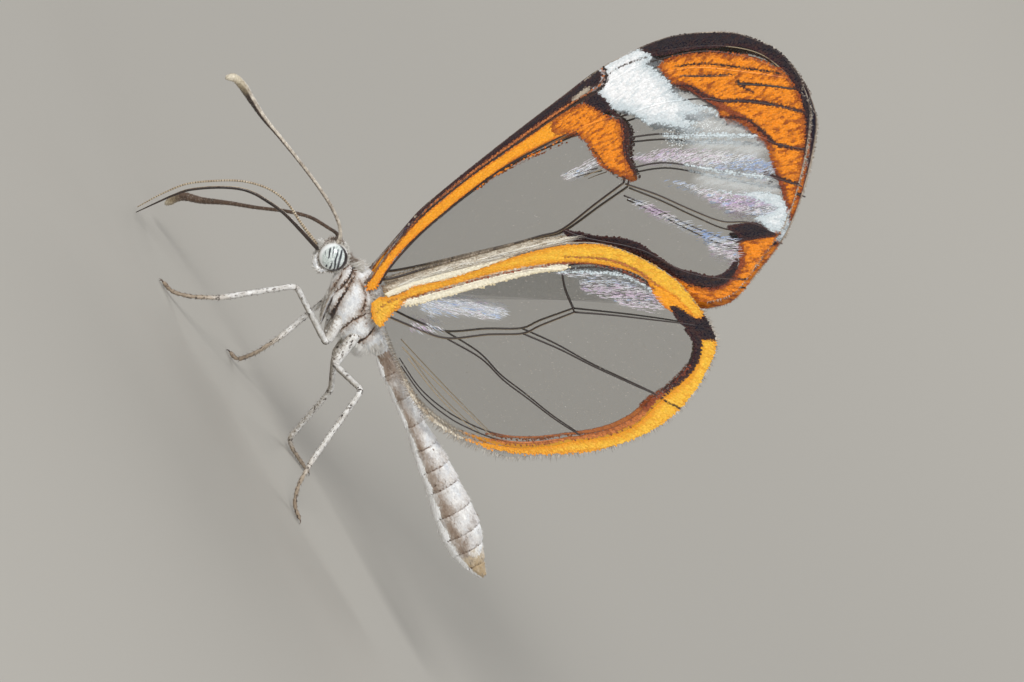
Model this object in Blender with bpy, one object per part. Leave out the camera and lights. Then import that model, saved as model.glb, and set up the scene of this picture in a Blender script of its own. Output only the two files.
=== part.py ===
"""A glasswing butterfly, Greta oto, standing with its wings closed over its back.

The sizes below are millimetres. X runs from the head to the tail, Z is up, and the
butterfly's left side is -Y. X is measured from the tip of the left middle foot, and
the finished solids are moved so that the origin is under the middle of the model.
"""

import math

import bmesh
import bpy
import numpy as np
from mathutils import Vector
from mathutils.geometry import delaunay_2d_cdt

# Driving sizes, in millimetres
MM = 0.001
CENTRE_X = 9.15
CENTRE_Y = 0.35
GAP = 0.3
LIMB_RADIUS = 0.26
WING_THICKNESS = 0.5
FOREWING_INSIDE = 0.25
HINDWING_INSIDE = 1.22
VEIN_HEIGHT = 0.2
VEIN_WIDTH = 0.6
VEIN_END = 0.4
WING_STEP = 1.25
FLARE = 0.4
FLARE_REACH = 2.6

# Colours of the solids, as shares of red, green and blue
WHITE_SCALES = (0.80, 0.79, 0.74)
BROWN_SCALES = (0.09, 0.05, 0.03)
GREY_SCALES = (0.42, 0.40, 0.36)
EYE_GREEN = (0.55, 0.60, 0.48)
CLEAR_WING = (0.45, 0.44, 0.40)
TAN_LIMB = (0.45, 0.24, 0.10)

# The body: X, then the height of its underside, the height of its back and its half width
TRUNK = (
    (5.6, 9.0, 10.15, 0.5),
    (6.0, 8.55, 10.6, 0.8),
    (6.6, 7.9, 10.95, 1.1),
    (7.4, 7.35, 11.05, 1.3),
    (8.4, 7.15, 10.85, 1.35),
    (9.4, 7.2, 10.4, 1.25),
    (10.2, 7.7, 9.9, 1.0),
    (10.8, 8.1, 9.6, 0.75),
    (11.25, 8.35, 9.45, 0.5),
)
COLLAR_END = 6.3
ABDOMEN = (
    (11.5, 8.4, 9.4, 0.45),
    (13.0, 8.1, 9.35, 0.55),
    (15.0, 7.9, 9.15, 0.6),
    (17.0, 7.6, 9.05, 0.68),
    (19.0, 7.1, 9.1, 0.88),
    (21.0, 6.7, 9.0, 1.02),
    (22.5, 6.28, 8.9, 1.1),
    (24.0, 6.1, 8.7, 1.08),
    (25.2, 6.2, 8.2, 0.85),
    (26.3, 6.6, 7.7, 0.5),
    (27.05, 7.0, 7.4, 0.16),
)
ABDOMEN_RINGS = (11.5, 12.9, 14.6, 16.5, 18.5, 20.5, 22.3, 23.9, 25.2, 26.3, 27.05)
ABDOMEN_CUTS = (16.5, 22.3)
RING_GROOVE = 0.1
HEAD = (
    (3.8, 9.0, 9.75, 0.4),
    (3.97, 8.8, 10.0, 0.7),
    (4.3, 8.65, 10.22, 0.95),
    (4.75, 8.58, 10.3, 1.0),
    (5.1, 8.7, 10.15, 0.8),
    (5.35, 9.1, 9.9, 0.45),
)
EYE_CENTRE = (4.7, 9.45)
EYE_RADIUS = 0.92
EYE_START = 0.6
EYE_BULGE = 0.5

# Limbs and feelers, as points from the root to the tip: X, Y, Z
PALP = ((5.2, 0.4, 8.75), (5.0, 0.4, 8.35), (4.6, 0.4, 8.15), (4.2, 0.4, 8.15), (3.9, 0.4, 8.25))
ANTENNA = {
    "left": (
        (4.2, -0.4, 10.1),
        (3.7, -0.42, 10.5),
        (2.9, -0.55, 10.8),
        (1.6, -0.8, 10.95),
        (-0.2, -1.1, 10.9),
        (-1.9, -1.35, 10.75),
        (-3.7, -1.6, 10.55),
        (-5.3, -1.9, 10.35),
        (-6.8, -2.1, 10.3),
        (-7.8, -2.3, 10.3),
        (-8.5, -2.4, 10.15),
        (-8.85, -2.5, 9.7),
    ),
    "right": (
        (4.2, 0.4, 10.1),
        (3.8, 0.5, 10.2),
        (3.2, 0.8, 9.85),
        (2.4, 1.25, 9.3),
        (1.8, 1.6, 8.65),
        (1.2, 2.1, 7.75),
        (0.4, 2.7, 6.4),
        (-0.5, 3.4, 5.0),
        (-1.3, 4.1, 3.55),
        (-2.0, 4.6, 2.55),
        (-2.0, 5.0, 1.4),
    ),
}
CLUB_AT = 0.72
CLUB_RADIUS = 0.34
PROBOSCIS = (
    (4.2, 0.4, 8.9),
    (3.5, 0.4, 8.85),
    (1.8, 0.4, 8.6),
    (0.3, 0.4, 8.3),
    (-0.7, 0.4, 7.9),
    (-1.8, 0.4, 7.0),
    (-2.5, 0.4, 5.9),
    (-3.0, 0.4, 4.9),
    (-3.4, 0.4, 3.8),
    (-3.6, 0.4, 2.8),
    (-3.65, 0.4, 1.8),
    (-3.7, 0.4, 0.45),
)
PROBOSCIS_CUTS = (0.33, 0.66)
FORELEG = ((6.5, 0.5, 8.7), (7.0, 0.62, 7.75), (7.95, 0.62, 6.6))
COXA = {
    "mid": ((8.0, 0.7, 8.3), (9.1, 0.85, 6.35)),
    "hind": ((9.4, 0.7, 8.5), (10.45, 0.95, 6.2)),
}
COXA_RADII = (0.52, 0.36)
LEG = {
    ("mid", "left"): (
        (9.12, -0.85, 6.35),
        (4.5, -3.2, 6.95),
        (2.7, -3.8, 2.6),
        (1.75, -3.9, 1.15),
        (0.9, -3.95, 0.3),
        (0.0, -4.0, 0.2),
    ),
    ("mid", "right"): (
        (9.12, 0.85, 6.35),
        (7.9, 4.5, 7.6),
        (8.65, 4.2, 3.25),
        (8.8, 4.3, 1.6),
        (8.65, 4.4, 0.3),
        (7.95, 4.55, 0.2),
    ),
    ("hind", "left"): (
        (10.5, -1.0, 6.15),
        (11.9, -4.5, 7.3),
        (14.15, -5.5, 2.35),
        (14.9, -5.75, 1.1),
        (15.8, -5.9, 0.3),
        (16.8, -6.0, 0.2),
    ),
    ("hind", "right"): (
        (10.5, 1.0, 6.15),
        (12.8, 3.0, 4.55),
        (14.7, 5.0, 0.5),
        (15.4, 5.5, 0.27),
        (16.5, 6.2, 0.22),
        (17.6, 6.8, 0.2),
    ),
}
KNEE_BEND = 0.55
TOE_JOINTS = (0.45, 0.63, 0.77, 0.89)
TOE_WAIST = 0.05

# Wing outlines in side view: X, Z. Each wing is an edge at the front, one at the outside
# and one at the back, and they meet at corners
FOREWING_EDGES = (
    ((7.1, 10.1), (6.7, 10.8), (5.8, 13.1), (4.5, 16.4), (2.8, 26.4), (2.4, 30.0), (2.7, 33.8), (3.8, 36.4)),
    ((3.8, 36.4), (4.9, 38.0), (6.9, 39.4), (9.1, 39.7), (11.3, 39.1), (14.0, 37.1), (16.6, 34.3), (18.2, 31)),
    ((18.2, 31), (18.8, 29.3), (18.5, 27.8)),
    ((18.5, 27.8), (15.0, 23.2), (11.2, 17.6), (8.6, 12.6), (7.9, 10.1)),
)
HINDWING_EDGES = (
    ((8.1, 9.9), (7.9, 11), (8.1, 12.7), (9.2, 17.2), (10.6, 22), (12.3, 24.7), (15.6, 26.8), (18.6, 27.4)),
    ((18.6, 27.4), (20.8, 27.1), (22.3, 25.3), (23.4, 22.8), (23.6, 20.0), (22.8, 16.6), (20.8, 12.5)),
    ((20.8, 12.5), (18.0, 10.25), (14.9, 9.3), (12.5, 9.6), (10.1, 9.85), (8.9, 9.7), (8.1, 9.9)),
)
FOREWING_VEINS = (
    ((6.2, 12.8), (4.9, 16.9), (3.9, 21.7), (3.4, 29.1), (3.6, 31.8), (4.6, 35.2), (6.2, 37.4)),
    ((7.4, 11.8), (6.3, 14.6), (5.4, 17.9), (5.0, 23.8), (5.7, 29.0), (6.6, 32.7), (10.4, 38.2)),
    ((7.7, 12.4), (9.2, 18.5), (10.1, 22.4), (9.4, 27.1), (13.2, 30.3), (16.8, 34.0)),
    ((5.7, 29.0), (7.0, 28.4), (8.6, 27.7), (9.4, 27.1)),
    ((7.0, 28.4), (9.0, 32.7), (13.0, 37.5)),
    ((8.6, 27.7), (11.7, 32.6), (14.8, 36.2)),
    ((10.1, 22.4), (11.2, 23.1), (13.6, 25.9), (16.1, 27.4), (17.6, 29.2)),
)
HINDWING_VEINS = (
    ((8.9, 12.6), (10.0, 16.7), (11.2, 21.0), (12.6, 23.5), (14.8, 25.6)),
    ((9.5, 10.5), (12.3, 13.2), (14.3, 17.2), (14.7, 20.6), (16.3, 22.9), (18.4, 25.6)),
    ((12.0, 21.1), (14.7, 20.6)),
    ((14.3, 17.2), (18.9, 20.0), (22.2, 22.4)),
    ((12.3, 13.2), (14.9, 13.9), (21.7, 16.6)),
    ((11.6, 10.5), (14.4, 11.4), (20.6, 14.2)),
)
WING_ROOT = (7.4, 10.6)


def clear_scene():
    for item in list(bpy.data.objects):
        bpy.data.objects.remove(item, do_unlink=True)


def material(name, colour, roughness=0.6, alpha=1.0):
    made = bpy.data.materials.new(name)
    made.use_nodes = True
    surface = made.node_tree.nodes["Principled BSDF"]
    surface.inputs["Base Color"].default_value = (*colour, 1.0)
    surface.inputs["Roughness"].default_value = roughness
    surface.inputs["Alpha"].default_value = alpha
    return made


def mesh_of(points, faces):
    """A mesh from points and faces, with its faces pointing out."""
    form = bmesh.new()
    corners = [form.verts.new(point) for point in points]
    for face in faces:
        form.faces.new([corners[index] for index in face])
    bmesh.ops.recalc_face_normals(form, faces=form.faces)
    bmesh.ops.triangulate(form, faces=form.faces)
    made = bpy.data.meshes.new("form")
    form.to_mesh(made)
    form.free()
    return made


def largest_piece(mesh):
    """The mesh with only its largest closed surface kept."""
    form = bmesh.new()
    form.from_mesh(mesh)
    bmesh.ops.remove_doubles(form, verts=form.verts, dist=1e-4)
    left = set(form.verts)
    pieces = []
    while left:
        found = {left.pop()}
        edge = list(found)
        while edge:
            near = {e.other_vert(v) for v in edge for e in v.link_edges} - found
            found |= near
            edge = list(near)
        left -= found
        pieces.append(found)
    pieces.sort(key=len)
    scraps = [vertex for piece in pieces[:-1] for vertex in piece]
    bmesh.ops.delete(form, geom=scraps, context="VERTS")
    bmesh.ops.triangulate(form, faces=form.faces)
    form.to_mesh(mesh)
    form.free()
    return mesh


def cut(mesh, *cutters):
    """What is left of a mesh outside the cutters, as one closed piece."""
    body = bpy.data.objects.new("body", mesh)
    bpy.context.collection.objects.link(body)
    tools = []
    for shape in cutters:
        tool = bpy.data.objects.new("tool", shape)
        bpy.context.collection.objects.link(tool)
        tools.append(tool)
        modifier = body.modifiers.new("cut", "BOOLEAN")
        modifier.operation = "DIFFERENCE"
        modifier.solver = "EXACT"
        modifier.object = tool
    bpy.context.view_layer.update()
    graph = bpy.context.evaluated_depsgraph_get()
    made = bpy.data.meshes.new_from_object(body.evaluated_get(graph))
    for item in (body, *tools):
        bpy.data.objects.remove(item, do_unlink=True)
    return largest_piece(made)


def add_node(name, mesh, surface):
    """Moves a form over the origin, turns it to metres and gives it its object."""
    for vertex in mesh.vertices:
        x, y, z = vertex.co
        vertex.co = ((x - CENTRE_X) * MM, (y - CENTRE_Y) * MM, z * MM)
    mesh.name = name
    mesh.materials.append(surface)
    mesh.shade_smooth()
    mesh.set_sharp_from_angle(angle=math.radians(40))
    made = bpy.data.objects.new(name, mesh)
    bpy.context.collection.objects.link(made)
    return made


def smooth_path(points, step):
    """Points along the curve that passes through the given points, about a step apart."""
    ends = [np.array(point, float) for point in points]
    ends = [2 * ends[0] - ends[1], *ends, 2 * ends[-1] - ends[-2]]
    path = []
    for a, b, c, d in zip(ends, ends[1:], ends[2:], ends[3:]):
        count = max(1, round(float(np.linalg.norm(c - b)) / step))
        for t in np.arange(count) / count:
            bend = (2 * a - 5 * b + 4 * c - d) * t**2 + (3 * b - a - 3 * c + d) * t**3
            path.append(b + 0.5 * ((c - a) * t + bend))
    path.append(ends[-2])
    return np.array(path)


def bent_path(points, bend):
    """Straight runs between the points, with each corner rounded over the bend's length."""
    points = [np.array(point, float) for point in points]
    path = [points[0]]
    for before, corner, after in zip(points, points[1:], points[2:]):
        reach_in = min(bend, 0.45 * np.linalg.norm(before - corner))
        reach_out = min(bend, 0.45 * np.linalg.norm(after - corner))
        start = corner + (before - corner) / np.linalg.norm(before - corner) * reach_in
        end = corner + (after - corner) / np.linalg.norm(after - corner) * reach_out
        for t in (0.0, 0.33, 0.67, 1.0):
            path.append((1 - t) ** 2 * start + 2 * t * (1 - t) * corner + t**2 * end)
    path.append(points[-1])
    return np.array(path)


def lengths_along(path):
    return np.r_[0, np.cumsum(np.linalg.norm(np.diff(path, axis=0), axis=1))]


def stretch_of(path, start, end):
    """The part of a path between two lengths along it."""
    along = lengths_along(path)
    inner = along[(along > start + 0.12) & (along < end - 0.12)]
    places = np.r_[start, inner, end]
    return np.array([np.interp(places, along, path[:, axis]) for axis in range(3)]).T


def ring_loft(rings, tip_start=None, tip_end=None):
    """A closed mesh through rings of equal counts, with flat ends or a point at each end."""
    sides = len(rings[0])
    points = [tuple(point) for ring in rings for point in ring]
    faces = []
    for ring in range(len(rings) - 1):
        for side in range(sides):
            after = (side + 1) % sides
            low = ring * sides
            high = low + sides
            faces.append((low + side, low + after, high + after, high + side))
    for ring, tip in ((0, tip_start), (len(rings) - 1, tip_end)):
        first = ring * sides
        if tip is None:
            faces.append([first + side for side in range(sides)])
            continue
        points.append(tuple(tip))
        for side in range(sides):
            faces.append((first + side, first + (side + 1) % sides, len(points) - 1))
    return mesh_of(points, faces)


def tube(path, radius_at, sides=8, grow=0.0, floor=None):
    """A round limb along a path. radius_at gives the radius at each share of its length."""
    along = lengths_along(path)
    shares = along / along[-1]
    ways = np.gradient(path, along, axis=0)
    ways /= np.linalg.norm(ways, axis=1)[:, None]
    if grow:
        path = path.copy()
        path[0] -= ways[0] * grow
        path[-1] += ways[-1] * grow
    across = Vector(ways[0]).orthogonal().normalized()
    rings = []
    for point, way, share in zip(path, ways, shares):
        across = (across - across.dot(Vector(way)) * Vector(way)).normalized()
        other = Vector(way).cross(across)
        radius = radius_at(share) + grow
        ring = []
        for side in range(sides):
            angle = 2 * math.pi * (side + 0.5) / sides
            place = Vector(point) + radius * (math.cos(angle) * across + math.sin(angle) * other)
            ring.append(place)
        rings.append(ring)
    if floor is not None:
        for ring in rings:
            for place in ring:
                place.z = max(place.z, floor)
    return ring_loft(rings)


def oval_rings(profile, places, sides, grow=0.0, scale=None):
    """Upright oval rings along X, read from a profile of X, underside, back and half width."""
    table = np.array(profile)
    rings = []
    for index, x in enumerate(places):
        low, high, wide = (np.interp(x, table[:, 0], table[:, column]) for column in (1, 2, 3))
        share = 1.0 if scale is None else scale[index]
        centre = (low + high) / 2
        tall = (high - low) / 2 * share + grow
        wide = wide * share + grow
        ring = []
        for side in range(sides):
            angle = 2 * math.pi * side / sides
            ring.append((x, wide * math.cos(angle), centre + tall * math.sin(angle)))
        rings.append(ring)
    return rings


def oval_body(profile, start, end, sides=14, grow=0.0):
    """The length of a body between two places, with flat ends."""
    inner = [row[0] for row in profile if start + 0.1 < row[0] < end - 0.1]
    rings = oval_rings(profile, [start, *inner, end], sides, grow)
    if grow:
        rings[0] = [(x - grow, y, z) for x, y, z in rings[0]]
        rings[-1] = [(x + grow, y, z) for x, y, z in rings[-1]]
    return ring_loft(rings)


def thorax_form(grow=0.0):
    return oval_body(TRUNK, COLLAR_END, TRUNK[-1][0], grow=grow)


def collar_form(grow=0.0):
    return oval_body(TRUNK, TRUNK[0][0], COLLAR_END - GAP, grow=grow)


def head_form(grow=0.0):
    return oval_body(HEAD, HEAD[0][0], HEAD[-1][0], sides=16, grow=grow)


def side_disc(centre, radius, start, end, sides=20):
    """A short round bar along Y, as a cutter."""
    rings = []
    for y in (start, end):
        angles = [2 * math.pi * side / sides for side in range(sides)]
        ring = [(centre[0] + radius * math.cos(a), y, centre[1] + radius * math.sin(a)) for a in angles]
        rings.append(ring)
    return ring_loft(rings)


def add_head(white):
    pockets = []
    for sign in (-1, 1):
        start = sign * (EYE_START - GAP)
        pockets.append(side_disc(EYE_CENTRE, EYE_RADIUS + GAP, start, sign * 3.0))
    add_node("head", cut(head_form(), *pockets), white)


def add_eye(name, sign, surface):
    """A domed eye whose flat back faces the head."""
    rings = []
    steps = 5
    sides = 18
    for step in range(steps):
        share = step / steps
        radius = EYE_RADIUS * math.sqrt(1 - share**2)
        y = sign * (EYE_START + EYE_BULGE * share)
        angles = [2 * math.pi * side / sides for side in range(sides)]
        x, z = EYE_CENTRE
        rings.append([(x + radius * math.cos(a), y, z + radius * math.sin(a)) for a in angles])
    tip = (EYE_CENTRE[0], sign * (EYE_START + EYE_BULGE), EYE_CENTRE[1])
    add_node(name, ring_loft(rings, tip_end=tip), surface)


def to_side(points, sign):
    return [(x, sign * abs(y), z) for x, y, z in points]


def add_palp(name, sign, surface):
    path = smooth_path(to_side(PALP, sign), 0.6)

    def radius(share):
        return float(np.interp(share, (0, 0.6, 1), (0.27, 0.27, 0.14)))

    add_node(name, cut(tube(path, radius), head_form(GAP)), surface)


def add_antenna(side, surface):
    """The shaft of a feeler, and its club as a length of its own."""
    path = smooth_path(ANTENNA[side], 1.3)
    whole = lengths_along(path)[-1]
    split = CLUB_AT * whole

    def club_radius(share):
        return float(np.interp(share, (0, 0.35, 0.8, 1), (LIMB_RADIUS, CLUB_RADIUS, CLUB_RADIUS, 0.15)))

    shaft = tube(stretch_of(path, 0.0, split - GAP / 2), lambda share: LIMB_RADIUS)
    add_node(f"antenna_{side}", cut(shaft, head_form(GAP)), surface)
    club = tube(stretch_of(path, split + GAP / 2, whole), club_radius)
    add_node(f"antenna_club_{side}", club, surface)


def add_galea(side, sign, surface):
    """One of the two halves of the sucking tube, in three lengths."""
    path = smooth_path(to_side(PROBOSCIS, sign), 1.0)
    whole = lengths_along(path)[-1]
    ends = (0.0, PROBOSCIS_CUTS[0] * whole, PROBOSCIS_CUTS[1] * whole, whole)
    for name, start, end in zip(("base", "arch", "tip"), ends, ends[1:]):
        first = start + (GAP / 2 if start else 0.0)
        last = end - (GAP / 2 if end < whole else 0.0)
        tip = 0.14 if end == whole else LIMB_RADIUS

        def radius(share, tip=tip):
            return float(np.interp(share, (0, 0.6, 1), (LIMB_RADIUS, LIMB_RADIUS, tip)))

        form = tube(stretch_of(path, first, last), radius)
        if not start:
            form = cut(form, head_form(GAP))
        add_node(f"proboscis_{name}_{side}", form, surface)


def add_foreleg(side, sign, surface):
    path = smooth_path(to_side(FORELEG, sign), 0.7)

    def radius(share):
        return float(np.interp(share, (0, 0.8, 1), (0.27, 0.25, 0.16)))

    form = cut(tube(path, radius), thorax_form(GAP), collar_form(GAP))
    add_node(f"foreleg_{side}", form, surface)


def coxa_form(pair, sign, grow=0.0):
    path = smooth_path(to_side(COXA[pair], sign), 0.8)

    def radius(share):
        return float(np.interp(share, (0, 1), COXA_RADII))

    return tube(path, radius, sides=10, grow=grow)


def foot_path(path, start, end):
    """The foot's path, with rings of corners at the waist of every joint."""
    along = lengths_along(path)
    places = [0.0, 1.0]
    for joint in TOE_JOINTS:
        places.extend((joint - TOE_WAIST, joint, joint + TOE_WAIST))
    places = start + np.sort(places) * (end - start)
    return np.array([np.interp(places, along, path[:, axis]) for axis in range(3)]).T


def foot_radius(share):
    """Narrow at every joint of the foot, and full between them."""
    away = min(abs(share - joint) for joint in TOE_JOINTS)
    return LIMB_RADIUS - (0.05 if away < TOE_WAIST / 2 else 0.0)


def add_leg(pair, side, sign, white, tan):
    """A walking leg: hip, thigh, shin and foot, parted by thin gaps at the bends."""
    add_node(f"{pair}leg_coxa_{side}", cut(coxa_form(pair, sign), thorax_form(GAP)), white)
    points = LEG[pair, side]
    path = bent_path(points, KNEE_BEND)
    along = lengths_along(path)
    knee = float(along[np.argmin(np.linalg.norm(path - points[1], axis=1))]) + 0.1
    ankle = float(along[np.argmin(np.linalg.norm(path - points[2], axis=1))]) + 0.1
    thigh = tube(stretch_of(path, 0.0, knee - GAP / 2), lambda share: LIMB_RADIUS)
    add_node(f"{pair}leg_femur_{side}", cut(thigh, coxa_form(pair, sign, GAP)), white)
    shin = tube(stretch_of(path, knee + GAP / 2, ankle - GAP / 2), lambda share: LIMB_RADIUS)
    add_node(f"{pair}leg_tibia_{side}", shin, white)
    foot = tube(foot_path(path, ankle + GAP / 2, along[-1]), foot_radius, floor=0.0)
    add_node(f"{pair}leg_tarsus_{side}", foot, tan)


def add_abdomen(surface):
    """The abdomen in three lengths, each swelling to the rear edge of every ring."""
    ends = (ABDOMEN[0][0], *ABDOMEN_CUTS, ABDOMEN[-1][0])
    for name, start, end in zip(("base", "middle", "tip"), ends, ends[1:]):
        first = start + (GAP / 2 if start != ends[0] else 0.0)
        last = end - (GAP / 2 if end != ends[-1] else 0.0)
        places = [first]
        scale = [1.0 - RING_GROOVE * 0.5]
        for front, back in zip(ABDOMEN_RINGS, ABDOMEN_RINGS[1:]):
            if back <= first or front >= last:
                continue
            middle = (front + back) / 2
            places.extend((middle, back - 0.16))
            scale.extend((1.0, 1.0 + RING_GROOVE / 3))
            if back < last - 0.1:
                places.append(back)
                scale.append(1.0 - RING_GROOVE)
        if places[-1] < last - 0.1:
            places.append(last)
            scale.append(1.0)
        form = ring_loft(oval_rings(ABDOMEN, places, 14, scale=scale))
        add_node(f"abdomen_{name}", form, surface)


def wing_outline(edges, step):
    """The wing's outline as one loop of points, with corners where its edges meet."""
    loop = []
    for edge in edges:
        loop.extend(smooth_path(edge, step)[:-1])
    if np.linalg.norm(np.subtract(edges[-1][-1], edges[0][0])) > 0.01:
        loop.append(np.array(edges[-1][-1], float))
    return np.array(loop)


def side_lines(line, reach):
    """The two edges of a vein's ridge, on each side of its middle line."""
    ways = np.gradient(line, axis=0)
    ways /= np.linalg.norm(ways, axis=1)[:, None]
    normals = np.stack([-ways[:, 1], ways[:, 0]], axis=1)
    return line + normals * reach, line - normals * reach


def distance_to_lines(point, lines):
    """How far a point is from the nearest of the lines."""
    best = 1e9
    for line in lines:
        start, run = line[:-1], np.diff(line, axis=0)
        share = ((point - start) * run).sum(1) / (run**2).sum(1)
        nearest = start + run * share.clip(0, 1)[:, None]
        best = min(best, float(np.linalg.norm(nearest - point, axis=1).min()))
    return best


def inside_loop(point, loop):
    """Whether a point is inside a closed outline."""
    x, z = point
    found = False
    for (ax, az), (bx, bz) in zip(loop, np.roll(loop, -1, axis=0)):
        if (az > z) != (bz > z) and x < (bx - ax) * (z - az) / (bz - az) + ax:
            found = not found
    return found


def flare_at(point):
    """How far the wings spread towards the sides of the body near their roots."""
    away = np.hypot(point[0] - WING_ROOT[0], point[1] - WING_ROOT[1])
    return FLARE * math.exp(-((away / FLARE_REACH) ** 2))


def wing_plan(edges, veins):
    """The wing's triangles in side view, with a row of corners along every vein."""
    loop = wing_outline(edges, WING_STEP)
    points = [Vector(point) for point in loop]
    count = len(points)
    joins = [(index, (index + 1) % count) for index in range(count)]
    rim = [np.vstack((loop, loop[:1]))]
    lines = [smooth_path(vein, WING_STEP) for vein in veins]
    for line in lines:
        for row in (line, *side_lines(line, VEIN_WIDTH / 2)):
            clear = [inside_loop(spot, loop) and distance_to_lines(spot, rim) > VEIN_END for spot in row]
            row = row[clear]
            first = len(points)
            points.extend(Vector(point) for point in row)
            joins.extend((first + index, first + index + 1) for index in range(len(row) - 1))
    for radius in (1.0, 2.2, 3.6):
        for angle in np.radians((40, 65, 90, 115, 140)):
            spot = np.array(WING_ROOT) + radius * np.array((math.cos(angle), math.sin(angle)))
            if inside_loop(spot, loop) and distance_to_lines(spot, [*lines, loop]) > 0.6:
                points.append(Vector(spot))
    corners, _, faces, *_ = delaunay_2d_cdt(points, joins, [], 0, 0.02, False)
    plan = np.array([(corner.x, corner.y) for corner in corners])
    kept = [face for face in faces if inside_loop(plan[list(face)].mean(axis=0), loop)]
    used = sorted({index for face in kept for index in face})
    number = {old: new for new, old in enumerate(used)}
    plan = plan[used]
    kept = [tuple(number[index] for index in face) for face in kept]
    heights = []
    for point in plan:
        near = distance_to_lines(point, lines)
        on_rim = distance_to_lines(point, rim) < VEIN_END / 2
        heights.append(0.0 if on_rim else VEIN_HEIGHT * max(0.0, 1 - near / (VEIN_WIDTH / 2)))
    return plan, kept, heights


def wing_form(edges, veins, inside, sign):
    """A wing as a thin slab, flat within and with its veins raised on the outside."""
    plan, faces, heights = wing_plan(edges, veins)
    count = len(plan)
    points = []
    for layer in (0, 1):
        for point, height in zip(plan, heights):
            out = inside + flare_at(point) + layer * (WING_THICKNESS + height)
            points.append((point[0], sign * out, point[1]))
    solid = list(faces)
    solid.extend(tuple(index + count for index in reversed(face)) for face in faces)
    sides = {}
    for face in faces:
        for start, end in zip(face, (*face[1:], face[0])):
            sides[start, end] = True
    for start, end in sides:
        if (end, start) not in sides:
            solid.append((end, start, start + count))
            solid.append((end, start + count, end + count))
    return mesh_of(points, solid)


def add_wings(side, sign, surface):
    body = (thorax_form(GAP), collar_form(GAP))
    form = wing_form(FOREWING_EDGES, FOREWING_VEINS, FOREWING_INSIDE, sign)
    add_node(f"forewing_{side}", cut(form, *body), surface)
    body = (thorax_form(GAP), oval_body(ABDOMEN, ABDOMEN[0][0], ABDOMEN_CUTS[0], grow=GAP))
    form = wing_form(HINDWING_EDGES, HINDWING_VEINS, HINDWING_INSIDE, sign)
    add_node(f"hindwing_{side}", cut(form, *body), surface)


def main():
    clear_scene()
    white = material("white_body_scales", WHITE_SCALES, 0.7)
    brown = material("brown_chitin", BROWN_SCALES, 0.45)
    grey = material("grey_scales", GREY_SCALES, 0.7)
    green = material("eye_cornea", EYE_GREEN, 0.2)
    clear = material("wing_membrane", CLEAR_WING, 0.2, 0.6)
    tan = material("tan_chitin", TAN_LIMB, 0.5)
    add_head(white)
    add_node("collar", collar_form(), grey)
    add_node("thorax", thorax_form(), white)
    add_abdomen(grey)
    for side, sign in (("left", -1), ("right", 1)):
        add_eye(f"eye_{side}", sign, green)
        add_palp(f"palp_{side}", sign, white)
        add_antenna(side, brown)
        add_galea(side, sign, brown)
        add_foreleg(side, sign, grey)
        for pair in ("mid", "hind"):
            add_leg(pair, side, sign, white, tan)
        add_wings(side, sign, clear)


main()
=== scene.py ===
"""A glasswing butterfly, Greta oto, as a life-size model with its wings closed over its back.

Sizes are in millimetres of the butterfly's own frame: X runs from head to tail, Z is up and
its left side is -Y, with X measured from the tip of the left middle foot.
"""

import math

import bmesh
import bpy
import numpy as np
from mathutils import Matrix, Vector
from mathutils.geometry import delaunay_2d_cdt


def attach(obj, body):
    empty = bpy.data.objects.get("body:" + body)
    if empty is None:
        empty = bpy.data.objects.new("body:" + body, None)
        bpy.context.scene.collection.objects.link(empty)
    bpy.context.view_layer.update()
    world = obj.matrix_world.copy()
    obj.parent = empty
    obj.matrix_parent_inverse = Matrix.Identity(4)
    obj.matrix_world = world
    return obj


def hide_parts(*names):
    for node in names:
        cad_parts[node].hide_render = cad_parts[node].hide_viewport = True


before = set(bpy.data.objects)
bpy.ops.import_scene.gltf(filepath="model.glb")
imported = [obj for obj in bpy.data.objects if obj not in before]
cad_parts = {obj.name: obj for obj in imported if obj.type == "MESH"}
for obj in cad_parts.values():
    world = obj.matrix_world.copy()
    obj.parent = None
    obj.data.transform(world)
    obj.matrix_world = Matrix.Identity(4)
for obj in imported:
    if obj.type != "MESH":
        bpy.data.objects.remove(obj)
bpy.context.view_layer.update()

# The studio: a long lens at the photo's angle, a pale matt floor and soft lamps.
# The camera is rolled, because the butterfly clung to an upright leaf in the photo and
# stands level here.
MM = 0.001
FRAME_ORIGIN = np.array((9.15, 0.35, 0.0))
PIXELS_PER_MM = 16.4
PHOTO_WIDTH = 1024
AIM = np.array((14.83, 0.0, 16.17))
CAMERA_DISTANCE = 1500.0
CAMERA_TILT = math.radians(16)
ACROSS = np.array((0.4973, 0.0, 0.8675))
OVER = np.array((-0.8675, 0.0, 0.4973))
SENSOR = 36.0


def placed(points):
    """Points in the butterfly's millimetres, as metres in the frame."""
    return (np.asarray(points, float) - FRAME_ORIGIN) * MM


def linear(code):
    """A hex colour as linear red, green, blue and alpha."""
    parts = [int(code[index : index + 2], 16) / 255 for index in (1, 3, 5)]
    return (*[p / 12.92 if p <= 0.04045 else ((p + 0.055) / 1.055) ** 2.4 for p in parts], 1.0)


def new_material(name):
    """A material with its node tree and its shader."""
    made = bpy.data.materials.new(name)
    made.use_nodes = True
    return made, made.node_tree, made.node_tree.nodes["Principled BSDF"]


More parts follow.
